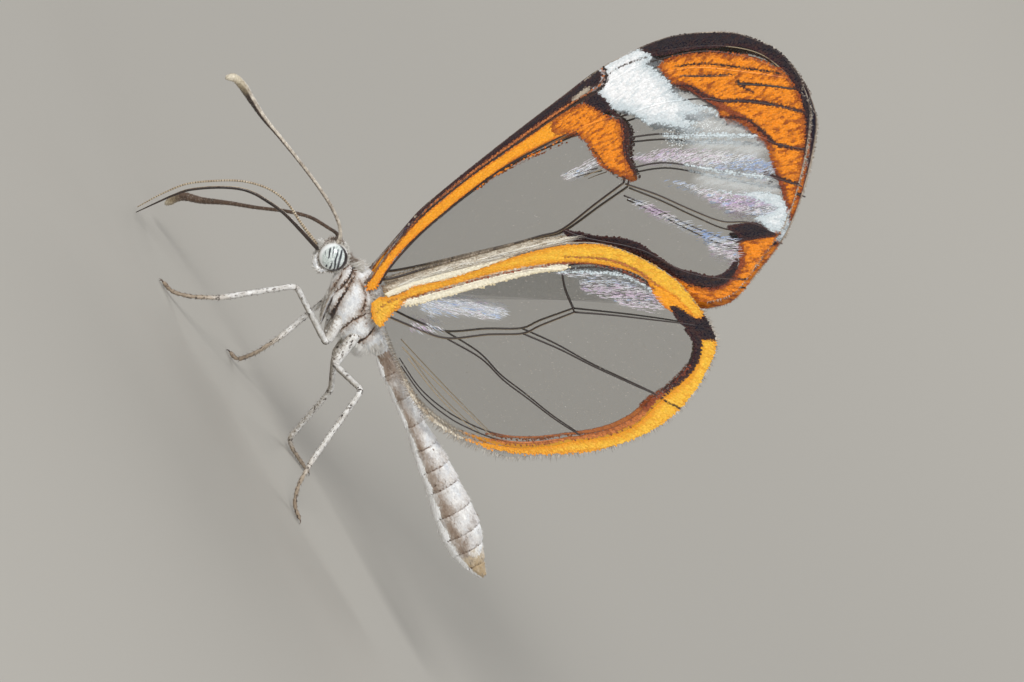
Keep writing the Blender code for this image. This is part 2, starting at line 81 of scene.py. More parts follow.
view_way = math.cos(CAMERA_TILT) * np.array((0, 1, 0)) - math.sin(CAMERA_TILT) * OVER
view_up = math.cos(CAMERA_TILT) * OVER + math.sin(CAMERA_TILT) * np.array((0, 1, 0))
camera_data = bpy.data.cameras.new("camera")
camera_data.sensor_width = SENSOR
camera_data.lens = SENSOR * CAMERA_DISTANCE / (PHOTO_WIDTH / PIXELS_PER_MM)
camera_data.clip_start = 0.1
camera_data.clip_end = 20
camera = bpy.data.objects.new("camera", camera_data)
bpy.context.scene.collection.objects.link(camera)
facing = Matrix(np.stack((ACROSS, view_up, -view_way), axis=1).tolist())
camera.matrix_world = Matrix.Translation(placed(AIM - view_way * CAMERA_DISTANCE)) @ facing.to_4x4()
bpy.context.scene.camera = camera
bpy.context.scene.view_settings.view_transform = "Standard"

floor_form = bmesh.new()
bmesh.ops.create_circle(floor_form, cap_ends=True, segments=96, radius=4.0)
floor_mesh = bpy.data.meshes.new("studio_floor")
floor_form.to_mesh(floor_mesh)
floor_form.free()
floor = bpy.data.objects.new("studio_floor", floor_mesh)
bpy.context.scene.collection.objects.link(floor)
floor_paint, tree, surface = new_material("matt_floor_paint")
surface.inputs["Base Color"].default_value = linear("#a9a59d")
surface.inputs["Roughness"].default_value = 0.9
surface.inputs["Specular IOR Level"].default_value = 0.2
floor_mesh.materials.append(floor_paint)

world = bpy.data.worlds.new("studio")
world.use_nodes = True
world.node_tree.nodes["Background"].inputs["Color"].default_value = linear("#e9ebee")
world.node_tree.nodes["Background"].inputs["Strength"].default_value = 0.55
bpy.context.scene.world = world

# Each lamp: where it stands from the middle of the butterfly, its side and its power
LAMPS = {
    "key": ((-0.4, -0.62, 0.42), 0.25, 5.4),
    "fill": ((0.45, -0.5, 0.1), 0.4, 0.7),
    "rim": ((0.1, 0.5, 0.4), 0.3, 1.4),
}
for lamp_name, (away, side_length, power) in LAMPS.items():
    lamp_data = bpy.data.lights.new(lamp_name, "AREA")
    lamp_data.size = side_length
    lamp_data.energy = power
    lamp = bpy.data.objects.new(lamp_name, lamp_data)
    bpy.context.scene.collection.objects.link(lamp)
    lamp.location = Vector(placed(AIM)) + Vector(away)
    lamp.rotation_mode = "QUATERNION"
    lamp.rotation_quaternion = (-Vector(away)).to_track_quat("-Z", "Y")


# The wings' membranes: two thin sheets of clear chitin on each side, the forewing inside
# the hindwing. They are dry and glassy, with overlapping scales only on their margins,
# the white band and the orange stripes. Over some of the clear cells lie streaks of painted
# sheen: a whitish haze and blue, white and pink reflections.
# Each outline is drawn as edges that meet at corners, in side view: X, Z
FOREWING_EDGES = (
    ((7.1, 10.1), (6.7, 10.8), (5.8, 13.1), (4.5, 16.4), (2.8, 26.4), (2.4, 30.0), (2.7, 33.8), (3.8, 36.4)),
    ((3.8, 36.4), (4.9, 38.0), (6.9, 39.4), (9.1, 39.7), (9.9, 39.3), (11.2, 39.2), (14.0, 37.1),
     (16.6, 34.3)),
    ((16.6, 34.3), (18.2, 31.0), (18.8, 29.3), (18.5, 27.8)),
    ((18.5, 27.8), (15.0, 23.2), (11.2, 17.6), (8.6, 12.6), (7.9, 10.1)),
)
HINDWING_EDGES = (
    ((8.2, 9.9), (8.05, 11.1), (8.25, 12.6), (9.35, 17.1), (10.75, 22.0), (12.45, 24.6), (15.7, 26.7),
     (18.7, 27.3)),
    ((18.7, 27.3), (20.9, 27.0), (22.4, 25.2), (23.5, 22.7), (23.7, 19.9), (22.9, 16.5), (20.9, 12.4)),
    ((20.9, 12.4), (18.1, 10.15), (15.0, 9.2), (12.6, 9.5), (10.2, 9.8), (9.0, 9.6), (8.2, 9.9)),
)
WING_ROOT = np.array((7.4, 10.6))
# How far from the body's middle plane the sheets stand, how far they flare out at the root and
# within what distance of it, and how high they ripple
FOREWING_OUT = 0.62
HINDWING_OUT = 1.5
HINDWING_SHIFT = np.array((-0.11, 0.06))
ROOT_FLARE = 0.4
FLARE_REACH = 2.6
RIPPLE = 0.045
# The net of a sheet, and the steps at which markings and bands are followed
SHEET_STEP = 0.17
MARK_STEP = 0.3
BAND_STEP = 0.4
# The right wings are held a little lower and further back than the left ones
RIGHT_WING_TURN = {"forewing": math.radians(-2.2), "hindwing": math.radians(-1.35)}
RIGHT_WING_SHIFT = {"forewing": np.zeros(2), "hindwing": np.array((0.28, -0.16))}

# Markings, drawn as closed outlines in the same view. One that lies later in WING_COLOURS
# covers the ones before it
FOREWING_MARKS = {
    # Sheen haze: a painted whitish sheen over the clear membrane
    "painted_sheen_haze": (
        ((5.8, 32.6), (6.5, 33.3), (7.5, 33.9), (8.3, 34.3), (8.6, 34.0), (8.2, 33.5), (7.4, 32.2)),
        ((8.2, 33.5), (9.2, 34.8), (9.8, 35.2), (10.6, 35.6), (10.3, 34.9), (9.4, 33.4), (8.5, 32.2),
         (8.2, 32.6)),
        ((9.0, 32.0), (10.3, 34.3), (11.3, 35.9), (12.1, 35.7), (11.9, 34.8), (11.1, 33.9), (10.1, 32.4),
         (9.5, 31.6)),
        ((11.2, 31.8), (12.2, 33.2), (13.7, 35.2), (14.6, 35.2), (14.6, 34.7), (13.5, 33.1), (12.4, 31.7),
         (11.4, 30.8)),
    ),
    # Sheen flecks: streaks of painted iridescent reflections
    "painted_sheen_flecks": (
        ((8.2, 28.3), (8.4, 29.1), (8.7, 29.9), (9.0, 30.7), (9.7, 31.8), (10.4, 32.8), (11.1, 33.9),
         (11.9, 34.9), (12.5, 35.2), (13.2, 35.4), (13.5, 35.1), (12.8, 34.3), (12.0, 33.3), (11.3, 32.3),
         (10.5, 31.3), (9.7, 30.3), (8.8, 28.8)),
        ((10.1, 28.7), (10.8, 29.7), (11.6, 30.6), (12.2, 31.2), (12.9, 32.0), (13.6, 33.0), (14.4, 33.9),
         (15.1, 34.4), (15.8, 34.7), (15.8, 34.3), (15.6, 33.6), (14.7, 32.4), (13.7, 31.5), (12.7, 30.9),
         (11.7, 30.3), (10.9, 29.7)),
        ((10.4, 26.9), (11.6, 27.85), (13.0, 28.75), (14.5, 29.9), (15.3, 30.7), (16.2, 31.4), (16.3, 30.9),
         (15.3, 30.0), (13.9, 29.0), (12.2, 27.8), (10.7, 26.8)),
        ((7.0, 24.0), (7.1, 25.0), (7.2, 26.1), (7.6, 26.3), (7.6, 25.1), (7.4, 24.0)),
        ((15.2, 29.5), (15.7, 30.4), (16.4, 31.1), (17.0, 31.0), (17.1, 30.4), (16.4, 30.0), (15.7, 29.5)),
    ),
    "dust": (
        ((5.9, 32.4), (7.0, 33.3), (7.8, 33.9), (8.1, 33.5), (7.7, 32.6), (6.6, 31.8)),
        ((8.3, 33.5), (8.6, 33.8), (9.5, 33.9), (8.7, 32.4), (9.2, 31.8), (9.3, 31.0), (8.7, 30.5),
         (8.0, 30.6), (7.5, 31.9)),
        ((10.1, 34.4), (10.9, 35.9), (11.3, 36.1), (11.2, 35.7), (10.5, 34.5)),
        ((8.9, 29.7), (9.6, 31.4), (11.2, 33.6), (12.6, 35.1), (13.4, 35.2), (12.4, 34.0), (10.6, 31.7),
         (9.4, 30.1)),
        ((12.4, 31.4), (13.6, 33.0), (15.1, 34.5), (15.9, 34.4), (14.6, 32.6), (13.3, 31.4)),
    ),
    "white": (
        ((2.3, 28.3), (2.0, 30.0), (2.1, 31.5), (2.6, 32.6), (3.4, 32.4), (3.6, 32.0), (4.0, 32.2),
         (4.5, 32.4), (5.1, 32.6), (5.5, 32.6), (5.8, 32.5), (6.4, 32.7), (6.9, 33.0), (7.6, 33.3),
         (7.8, 33.0), (7.5, 32.3), (7.9, 32.4), (8.3, 32.8), (8.2, 32.0), (7.6, 31.2), (7.1, 30.7),
         (7.0, 30.2), (6.5, 30.0), (5.9, 29.7), (5.4, 29.3), (5.1, 28.8), (4.5, 28.4), (4.0, 28.3),
         (3.4, 28.3), (2.9, 28.3)),
        ((13.6, 33.1), (14.1, 34.1), (14.6, 34.7), (15.2, 35.0), (15.9, 34.9), (16.5, 34.3), (16.8, 33.5),
         (16.4, 33.2), (15.9, 33.1), (15.3, 32.9), (15.4, 33.6), (15.4, 34.3), (14.7, 33.8), (14.1, 33.3)),
    ),
    "amber": (
        ((7.2, 10.3), (6.95, 10.75), (6.55, 11.4), (6.2, 12.3), (5.85, 13.3), (5.5, 14.3), (5.15, 15.5),
         (4.9, 16.8), (4.6, 18.2), (4.35, 20.0), (4.2, 21.6), (4.0, 23.7), (3.75, 26.2), (4.4, 27.2),
         (5.0, 26.2), (4.85, 24.2), (4.8, 22.3), (4.9, 21.1), (5.1, 19.5), (5.32, 18.0), (5.65, 16.4),
         (5.97, 14.8), (6.42, 13.1), (6.75, 12.3), (7.2, 11.4), (7.6, 10.7), (7.5, 10.3)),
    ),
    "orange": (
        ((3.85, 25.2), (3.7, 26.4), (4.0, 27.7), (5.1, 28.2), (5.7, 28.7), (6.3, 28.7), (7.0, 28.4),
         (7.7, 28.05), (8.5, 27.9), (9.3, 27.8), (9.0, 27.2), (8.6, 26.9), (7.8, 26.4), (7.0, 26.3),
         (5.9, 26.3), (5.1, 25.8), (4.7, 24.9)),
        ((4.4, 32.6), (4.1, 32.5), (3.9, 33.0), (4.0, 33.7), (4.4, 34.8), (4.8, 35.6), (5.3, 36.4),
         (6.0, 37.4), (6.6, 38.0), (7.3, 38.5), (8.1, 38.95), (9.2, 39.1), (10.7, 38.9), (11.6, 38.5),
         (12.5, 38.0), (13.3, 37.4), (14.2, 36.8), (15.0, 36.1), (15.7, 35.4), (16.2, 34.8), (15.7, 34.9),
         (15.0, 35.05), (14.5, 35.2), (14.0, 35.3), (13.4, 35.4), (12.7, 35.5), (12.0, 35.7), (11.4, 35.8),
         (10.7, 35.5), (9.9, 35.2), (9.2, 34.8), (8.7, 34.2), (8.1, 34.4), (7.5, 34.3), (7.0, 33.9),
         (6.3, 33.6), (5.8, 33.0), (5.5, 32.75), (5.0, 32.7), (4.7, 32.6)),
        ((16.1, 31.4), (16.5, 32.6), (16.8, 33.7), (17.9, 32.6), (18.7, 31.0), (19.0, 29.9), (19.0, 28.4),
         (18.3, 27.3), (16.6, 26.5), (15.6, 26.2), (16.5, 27.2), (17.6, 28.0), (18.0, 28.9), (17.9, 29.8),
         (17.4, 30.6)),
    ),
    "dark": (
        ((3.4, 27.9), (3.7, 28.5), (4.3, 28.7), (4.9, 28.8), (5.0, 28.3), (4.4, 27.8), (3.9, 27.5)),
        ((2.2, 31.9), (2.3, 33.2), (2.6, 34.6), (3.3, 36.4), (4.8, 38.5), (5.8, 39.3), (7.1, 39.9),
         (8.7, 40.1), (10.0, 40.0), (11.1, 39.6), (12.4, 38.9), (14.6, 37.1), (16.0, 35.8), (17.1, 34.4),
         (17.4, 33.6), (17.0, 33.6), (16.55, 34.3), (15.85, 35.1), (14.85, 36.15), (13.85, 37.0),
         (12.5, 38.0), (11.0, 38.75), (9.2, 39.15), (7.9, 39.0), (6.5, 38.4), (5.5, 37.6), (4.8, 36.2),
         (4.1, 34.7), (3.7, 33.4), (3.3, 32.6), (2.8, 32.2)),
        ((14.9, 31.1), (15.2, 32.1), (15.5, 32.8), (15.9, 33.1), (16.4, 33.3), (16.9, 33.6), (16.7, 32.9),
         (16.3, 31.8), (16.0, 31.0), (15.8, 31.5)),
        ((10.1, 22.4), (11.6, 24.2), (12.3, 25.2), (13.3, 26.1), (15.3, 27.0), (16.7, 28.3), (17.3, 29.0),
         (17.3, 29.9), (16.9, 30.7), (17.2, 30.7), (17.8, 30.0), (18.0, 29.0), (17.4, 27.9), (16.5, 27.0),
         (15.2, 26.4), (13.9, 25.7), (12.9, 24.9), (12.0, 24.0), (11.1, 22.7)),
    ),
}
HINDWING_MARKS = {
    # Sheen haze: a painted whitish sheen over the clear membrane
    "painted_sheen_haze": (
        ((9.7, 12.7), (10.4, 14.3), (11.6, 15.8), (12.8, 16.9), (12.9, 16.1), (11.6, 14.4), (10.5, 12.7)),
    ),
    # Sheen flecks: streaks of painted iridescent reflections
    "painted_sheen_flecks": (
        ((9.7, 12.7), (10.4, 14.3), (11.6, 15.8), (12.8, 16.9), (12.9, 16.1), (11.6, 14.4), (10.5, 12.7)),
        ((13.3, 21.8), (14.2, 23.5), (15.7, 24.8), (17.1, 25.4), (17.2, 24.7), (16.1, 23.3), (14.9, 22.3),
         (14.1, 21.6)),
        ((12.1, 20.8), (12.8, 22.1), (13.6, 23.1), (13.8, 22.8), (12.8, 21.4)),
        ((10.5, 11.5), (11.2, 12.5), (11.8, 13.0), (11.4, 12.0), (10.9, 11.3)),
    ),
    "cream": (
        ((7.4, 11.0), (7.8, 12.3), (8.3, 13.6), (8.7, 14.9), (8.95, 15.9), (9.25, 17.1), (9.6, 18.6),
         (10.0, 19.5), (9.85, 18.0), (9.6, 16.6), (9.4, 15.5), (9.15, 14.5), (8.85, 13.5), (8.6, 12.6),
         (8.3, 11.2)),
        ((8.8, 11.4), (9.3, 13.4), (9.7, 15.2), (10.2, 17.5), (10.9, 20.0), (11.4, 21.6), (12.3, 21.5),
         (11.7, 19.9), (11.0, 17.5), (10.4, 15.1), (9.9, 13.2), (9.3, 11.6)),
    ),
    "yellow": (
        ((8.5, 12.5), (8.8, 13.5), (9.15, 14.5), (9.4, 15.7), (9.65, 16.9), (9.85, 18.2), (10.15, 19.6),
         (10.75, 21.7), (11.9, 24.0), (13.0, 25.3), (14.4, 26.2), (15.7, 26.9), (17.3, 27.3), (19.0, 27.2),
         (18.7, 26.5), (17.6, 25.8), (16.2, 25.5), (15.1, 25.2), (14.0, 24.4), (12.8, 23.0), (11.8, 21.3),
         (10.8, 19.0), (10.1, 16.6), (9.5, 14.1), (9.0, 12.0)),
        ((7.9, 10.4), (8.4, 11.3), (8.6, 12.2), (8.9, 12.6), (9.2, 11.5), (9.5, 10.5), (9.9, 9.6),
         (9.3, 9.6), (8.5, 9.9)),
        ((20.2, 26.2), (20.6, 27.1), (21.7, 26.5), (22.4, 25.6), (23.2, 24.2), (23.6, 22.9), (23.8, 21.6),
         (24.0, 20.4), (23.8, 19.0), (23.3, 17.5), (22.6, 16.0), (22.0, 14.8), (21.5, 13.9), (20.9, 13.0),
         (20.2, 12.2), (19.5, 11.5), (19.3, 11.55), (20.0, 12.4), (20.7, 13.3), (21.2, 14.3), (21.6, 15.2),
         (21.9, 16.3), (22.3, 17.2), (22.8, 18.6), (22.95, 19.9), (22.8, 20.9), (22.5, 21.8), (22.3, 22.7),
         (22.1, 23.7), (21.8, 24.7), (21.1, 25.6)),
    ),
    "amber": (
        ((15.4, 25.4), (16.4, 26.0), (17.3, 26.4), (18.6, 26.6), (18.4, 26.0), (17.3, 25.4), (16.3, 25.2)),
    ),
    "dark": (
        ((17.37, 25.68), (17.79, 26.14), (18.48, 26.45), (19.02, 26.77), (19.04, 27.04), (18.71, 27.37),
         (18.7, 27.73), (19.15, 27.75), (19.85, 27.56), (20.57, 27.43), (20.82, 27.22), (20.49, 26.7),
         (20.22, 26.3), (19.79, 26.19), (19.3, 25.98), (18.73, 25.74), (18.02, 25.66)),
        ((19.36, 26.08), (19.91, 26.26), (20.3, 26.32), (20.78, 26.01), (21.16, 25.65), (21.55, 25.18),
         (21.78, 24.69), (21.87, 24.08), (21.91, 23.64), (21.76, 24.01), (21.53, 24.63), (21.15, 25.13),
         (20.68, 25.57), (20.18, 25.86), (19.75, 25.86), (19.18, 25.77)),
    ),
}
# Bands that follow a line. Each: its colour, the line and half the band's width, and for one
# that lies beside its line how far off its middle is. Both are read evenly along the line
COSTA = ((7.0, 10.4), (5.8, 13.1), (4.5, 16.4), (3.5, 21.9), (2.8, 26.4), (2.55, 28.6))
FOREWING_BANDS = (
    ("brown", COSTA, (0.0, 0.03, 0.07, 0.08, 0.1, 0.1, 0.07), (0.0, 0.11, 0.26, 0.31, 0.45, 0.62, 0.82)),
    ("dark", COSTA, (0.02, 0.05, 0.1, 0.13, 0.19, 0.27, 0.36), (0.02, 0.05, 0.1, 0.13, 0.19, 0.27, 0.36)),
    ("line", COSTA, (0.02, 0.03, 0.05, 0.06, 0.06, 0.06, 0.1), (0.08, 0.14, 0.38, 0.44, 0.6, 0.78, 1.0)),
    ("line", ((7.65, 10.75), (7.25, 11.5), (6.8, 12.4), (6.47, 13.2), (6.02, 14.9), (5.7, 16.5),
              (5.36, 18.1), (5.12, 19.6), (4.95, 21.1), (4.9, 22.4), (4.95, 24.4)),
     (0.05, 0.07, 0.07, 0.06, 0.05)),
    ("amber", ((5.3, 18.9), (5.1, 20.9), (5.1, 23.0), (5.2, 25.0)), (0.03, 0.05, 0.03)),
    # A thin pale line along the costa's edge: a painted highlight
    ("rim", COSTA, (0.035,)),
    ("rim", ((2.55, 28.6), (2.4, 30.0), (2.7, 33.8), (3.8, 36.4), (4.9, 38.0), (6.9, 39.4), (9.1, 39.7)),
     (0.04,)),
    ("rim", ((9.1, 39.7), (11.2, 39.2), (14.0, 37.1), (16.6, 34.3), (18.2, 31.0)),
     (0.05, 0.12, 0.12, 0.07)),
    ("line", ((3.3, 28.5), (2.95, 30.2), (3.2, 32.2)), (0.035,)),
    ("fur", ((7.9, 11.3), (8.9, 15.9), (9.55, 18.5), (10.25, 21.1), (10.8, 22.8)),
     (0.2, 0.32, 0.34, 0.32, 0.1)),
    ("white", ((7.9, 30.6), (8.5, 31.4), (9.5, 33.3), (10.8, 35.5), (11.1, 36.0)),
     (0.06, 0.12, 0.13, 0.09)),
    ("white", ((6.9, 32.3), (7.9, 33.8), (8.6, 34.1)), (0.14, 0.1, 0.04)),
    ("white", ((10.2, 30.9), (11.4, 32.2), (12.2, 33.2), (13.0, 34.2), (13.6, 35.1)),
     (0.03, 0.08, 0.09, 0.08)),
    ("white", ((12.6, 31.7), (13.8, 33.1), (15.1, 34.5)), (0.03, 0.07, 0.07)),
    ("red", ((5.4, 33.0), (7.0, 34.0), (8.7, 34.9), (10.4, 35.8), (12.2, 36.0)),
     (0.06, 0.2, 0.22, 0.18, 0.06)),
    ("line", ((5.2, 33.3), (6.0, 34.7), (6.7, 36.1)), (0.05,)),
    ("dark", ((6.7, 36.2), (7.6, 36.3), (8.4, 36.7)), (0.03, 0.1, 0.06)),
    ("line", ((7.3, 36.1), (8.4, 37.7), (9.5, 39.1)), (0.07,)),
    ("line", ((4.6, 33.4), (5.3, 35.0), (6.9, 37.2), (8.2, 38.8)), (0.05, 0.07, 0.07)),
    ("dark", ((5.5, 32.7), (6.2, 33.6), (7.2, 34.1), (7.9, 34.8), (8.5, 35.9), (9.4, 37.1), (10.9, 38.7)),
     (0.06, 0.1, 0.12, 0.13, 0.12, 0.1)),
    ("dark", ((8.7, 34.2), (9.5, 35.4), (10.3, 35.8), (11.2, 36.1), (11.9, 36.3), (13.1, 37.7)),
     (0.05, 0.09, 0.12, 0.13, 0.11)),
    ("dark", ((13.2, 34.8), (13.6, 35.2), (14.9, 36.3)), (0.06, 0.12, 0.1)),
    ("dark", ((15.6, 34.9), (16.2, 35.3)), (0.06,)),
    ("line", ((17.0, 27.2), (17.6, 29.2), (18.6, 30.8)), (0.05,)),
    ("red", ((13.0, 35.5), (14.4, 35.35), (15.7, 35.0)), (0.06, 0.12, 0.05)),
    ("red", ((16.4, 31.3), (17.3, 30.9), (18.0, 29.5), (17.9, 28.2)), (0.08, 0.14, 0.08)),
    ("dark", ((5.2, 28.7), (6.2, 28.9), (7.0, 28.6), (7.8, 28.15), (8.6, 28.0), (9.3, 27.9)),
     (0.1, 0.13, 0.12, 0.06)),
    ("line", ((5.0, 26.0), (6.5, 26.4), (8.3, 26.7), (9.2, 27.1)), (0.04,)),
    ("rim", ((3.3, 27.0), (3.2, 28.1)), (0.12, 0.18)),
)
HINDWING_BANDS = (
    ("white", ((12.2, 20.9), (13.0, 22.3), (14.4, 24.2), (16.2, 25.3), (17.2, 25.4)), (0.06, 0.09, 0.05)),
    ("red", ((8.9, 11.8), (9.6, 14.1), (10.25, 16.8), (11.15, 19.6), (11.95, 21.6), (13.0, 23.2),
             (14.4, 24.5), (16.1, 25.4)), (0.06, 0.08, 0.07, 0.05)),
    ("brown", ((11.5, 21.6), (12.7, 23.5), (14.2, 24.9), (16.0, 25.7)), (0.04, 0.09, 0.07)),
    ("rim", ((8.1, 12.6), (9.35, 17.1), (10.75, 22.0), (12.45, 24.6), (15.7, 26.7), (18.7, 27.3)),
     (0.07, 0.1, 0.06)),
    ("brown", ((8.8, 10.1), (8.55, 10.8), (8.65, 11.6)), (0.035,)),
    ("brown", ((19.3, 12.0), (20.1, 13.0), (20.85, 14.25), (21.4, 15.5), (21.65, 16.25)),
     (0.08, 0.09, 0.1)),
    ("fur", ((10.4, 9.75), (11.5, 9.55), (13.1, 9.35), (15.1, 9.3), (16.4, 9.6), (17.7, 10.2), (18.5, 10.7),
             (19.3, 11.4)), (0.06, 0.14, 0.14, 0.1)),
    ("yellow", ((18.4, 10.65), (19.4, 11.5), (20.2, 12.3)), (0.02, 0.1, 0.14)),
    ("brown", ((21.6, 16.1), (21.9, 16.8), (22.35, 18.0), (22.6, 19.2), (22.6, 20.4), (22.4, 21.2),
               (22.1, 21.9)), (0.08, 0.15, 0.17, 0.15)),
    ("red", ((22.3, 21.2), (22.1, 22.0), (22.0, 22.9), (21.7, 24.0), (21.3, 25.0)), (0.16, 0.1, 0.08)),
    ("dark", ((22.07, 22.7), (21.88, 23.65), (21.64, 24.64), (21.21, 25.34), (20.57, 25.89), (19.98, 26.15)),
     (0.08, 0.1, 0.13, 0.17, 0.17)),
    ("line", ((22.2, 22.3), (24.0, 23.4)), (0.05,)),
)
# Each colour: in the middle of a marking, at its edge, how far in from the edge the middle
# colour takes over, how ragged the edge is, how soft, and how much of the edge's colour stays
# in streaks. A later one covers an earlier one. The sheen haze, the sheen flecks and dust are
# thin: a painted whitish sheen over the clear membrane, painted iridescent reflections in
# streaks, and places where white scales stand far apart
WING_COLOURS = {
    "cream": ("#fbf3dc", "#d9c8a0", 0.15, 0.06, 0.04, 0.3),
    "fur": ("#eee6d5", "#a3917a", 0.2, 0.25, 0.1, 0.8),
    "white": ("#ffffff", "#cdd8dc", 0.9, 0.5, 0.12, 0.5),
    "yellow": ("#fdc53c", "#ea9418", 0.35, 0.06, 0.04, 0.5),
    "amber": ("#ffac22", "#d8700c", 0.14, 0.05, 0.04, 0.2),
    "orange": ("#fb9414", "#8e3c0c", 0.45, 0.45, 0.08, 0.85),
    "brown": ("#cf7a3c", "#8a4a25", 0.08, 0.05, 0.04, 0.4),
    "red": ("#9a4a22", "#5e2413", 0.08, 0.14, 0.06, 0.4),
    "dark": ("#20131a", "#43201a", 0.2, 0.14, 0.04, 0.4),
    "line": ("#24140f", "#4a2f20", 0.05, 0.03, 0.03, 0.2),
    # Rim: pale tan along the wing's edges; along the costa it is a painted highlight
    "rim": ("#bcae9b", "#77675a", 0.06, 0.05, 0.04, 0.4),
}
THIN_MARKS = ("painted_sheen_haze", "painted_sheen_flecks", "dust")
# The depth in a marking that a point far from it has
NOWHERE = -3.0
CLEAR_TINT = "#4a4437"
CLEAR_ALPHA = 0.2
CHITIN_IOR = 1.56
# The patterns' sizes in millimetres: a streak of scales, the grain of one scale beside the
# next, the patches where the painted reflections in the sheen streaks turn blue and pink, and
# one scale's own tone
STREAK_SIZE = 0.16
GRAIN_SIZE = 0.1
BLUE_SIZE = 0.45
PINK_SIZE = 0.3
SPECK_SIZE = 0.07


def smooth_path(points, step):
    """Points along the curve that passes through the given points, about a step apart."""
    ends = [np.array(point, float) for point in points]
    ends = [2 * ends[0] - ends[1], *ends, 2 * ends[-1] - ends[-2]]
    path = []
    for a, b, c, d in zip(ends, ends[1:], ends[2:], ends[3:]):
        count = max(1, round(float(np.linalg.norm(c - b)) / step))
        for t in np.arange(count) / count:
            bend = (2 * a - 5 * b + 4 * c - d) * t**2 + (3 * b - a - 3 * c + d) * t**3
            path.append(b + 0.5 * ((c - a) * t + bend))
    path.append(ends[-2])
    return np.array(path)


def closed_path(points, step):
    """The same for a closed outline, without the first point again at its end."""
    around = [*points[-2:], *points, *points[:2]]
    path = smooth_path(around, step)
    first = int(np.argmin(np.linalg.norm(path - points[0], axis=1)))
    last = len(path) - 1 - int(np.argmin(np.linalg.norm(path[::-1] - points[0], axis=1)))
    if last <= first + 2:
        far = np.linalg.norm(path - points[0], axis=1)
        last = first + 3 + int(np.argmin(far[first + 3 :]))
    return path[first:last]


def outline_of(edges, step):
    """A wing's edges joined into one closed outline."""
    loop = [point for edge in edges for point in smooth_path(edge, step)[:-1]]
    if np.linalg.norm(np.subtract(edges[-1][-1], edges[0][0])) > step / 2:
        last = np.array(edges[-1][-1], float)
        first = np.array(edges[0][0], float)
        count = max(1, round(float(np.linalg.norm(first - last)) / step))
        loop.extend(last + (first - last) * share for share in np.arange(count) / count)
    return np.array(loop)


def distance_to(points, line):
    """How far each point is from a line of straight runs, and the share along it of the nearest place."""
    starts = line[:-1]
    runs = np.diff(line, axis=0)
    sizes = np.maximum((runs**2).sum(1), 1e-12)
    lengths = np.r_[0, np.cumsum(np.sqrt(sizes))]
    best = np.full(len(points), 1e9)
    share = np.zeros(len(points))
    for index, (start, run, size) in enumerate(zip(starts, runs, sizes)):
        along = ((points - start) @ run / size).clip(0, 1)
        away = np.linalg.norm(points - start - along[:, None] * run, axis=1)
        nearer = away < best
        best = np.where(nearer, away, best)
        share = np.where(nearer, (lengths[index] + along * math.sqrt(size)) / lengths[-1], share)
    return best, share


def inside(points, loop):
    """Whether each point is inside a closed outline."""
    found = np.zeros(len(points), bool)
    x, z = points.T
    for (ax, az), (bx, bz) in zip(loop, np.roll(loop, -1, axis=0)):
        if az != bz:
            found ^= ((az > z) != (bz > z)) & (x < (bx - ax) * (z - az) / (bz - az) + ax)
    return found


def depth_in(points, loop):
    """How deep each point lies inside an outline, in millimetres, and less than 0 outside it."""
    away, _ = distance_to(points, np.vstack((loop, loop[:1])))
    return np.where(inside(points, loop), away, -away)


def rotated(points, centre, angle):
    """Points in side view, turned about a centre."""
    turned = np.asarray(points, float) - centre
    cosine, sine = math.cos(angle), math.sin(angle)
    return centre + turned @ np.array(((cosine, sine), (-sine, cosine)))


def held(plan, wing):
    """Places on a wing drawn flat, moved to where the wing is held."""
    return rotated(plan + wing["shift"], WING_ROOT, wing["angle"])


def wing_depths(points, marks, bands):
    """For every colour, how deep each point lies in its markings."""
    depths = {name: np.full(len(points), NOWHERE) for name in (*WING_COLOURS, *THIN_MARKS)}
    for name, shapes in marks.items():
        for shape in shapes:
            loop = closed_path([np.array(point) for point in shape], MARK_STEP)
            depths[name] = np.maximum(depths[name], depth_in(points, loop))
    for name, line, halves, *insets in bands:
        away, share = distance_to(points, smooth_path(line, BAND_STEP))
        half = np.interp(share, np.linspace(0, 1, len(halves)), halves)
        for row in insets:
            away = away - np.interp(share, np.linspace(0, 1, len(row)), row)
        depths[name] = np.maximum(depths[name], half - np.abs(away))
    return depths


def rays_of(plan):
    """Places on a wing stretched along the lines that run out from its root, for streaky patterns."""
    away = plan - WING_ROOT
    reach = np.linalg.norm(away, axis=1)
    return np.stack((reach * 0.25, np.arctan2(away[:, 0], away[:, 1]) * 17.0, np.zeros(len(plan))), axis=1)


def sheet_lie(points, out):
    """How far out from the body's middle plane the sheet lies: flared at its root, and rippled."""
    away = np.linalg.norm(points - WING_ROOT, axis=1)
    x, z = points.T
    ripple = np.sin(1.1 * x - 0.5 * z) + 0.6 * np.sin(0.7 * z + 0.9 * x)
    return out + ROOT_FLARE * np.exp(-((away / FLARE_REACH) ** 2)) + RIPPLE * ripple * (away / (away + 3))


def in_space(plan, out, sign):
    """Places in side view, put on the sheet that stands out that far on one side."""
    return np.stack((plan[:, 0], sign * sheet_lie(plan, out), plan[:, 1]), axis=1)


def new_piece(name, points, faces, paint, replaces=(), values=None, smooth=True):
    """A mesh object from points in millimetres, riding on the body, with its values for the paint."""
    mesh = bpy.data.meshes.new(name)
    mesh.from_pydata(placed(points).tolist(), [], faces if isinstance(faces, list) else faces.tolist())
    if smooth:
        mesh.shade_smooth()
    for key, value in (values or {}).items():
        value = np.asarray(value, np.float32)
        if value.ndim == 2:
            mesh.attributes.new(key, "FLOAT_VECTOR", "POINT").data.foreach_set("vector", value.ravel())
        else:
            mesh.attributes.new(key, "FLOAT", "POINT").data.foreach_set("value", value)
    mesh.materials.append(paint)
    made = bpy.data.objects.new(name, mesh)
    bpy.context.scene.collection.objects.link(made)
    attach(made, "root")
    if replaces:
        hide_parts(*replaces)
    return made


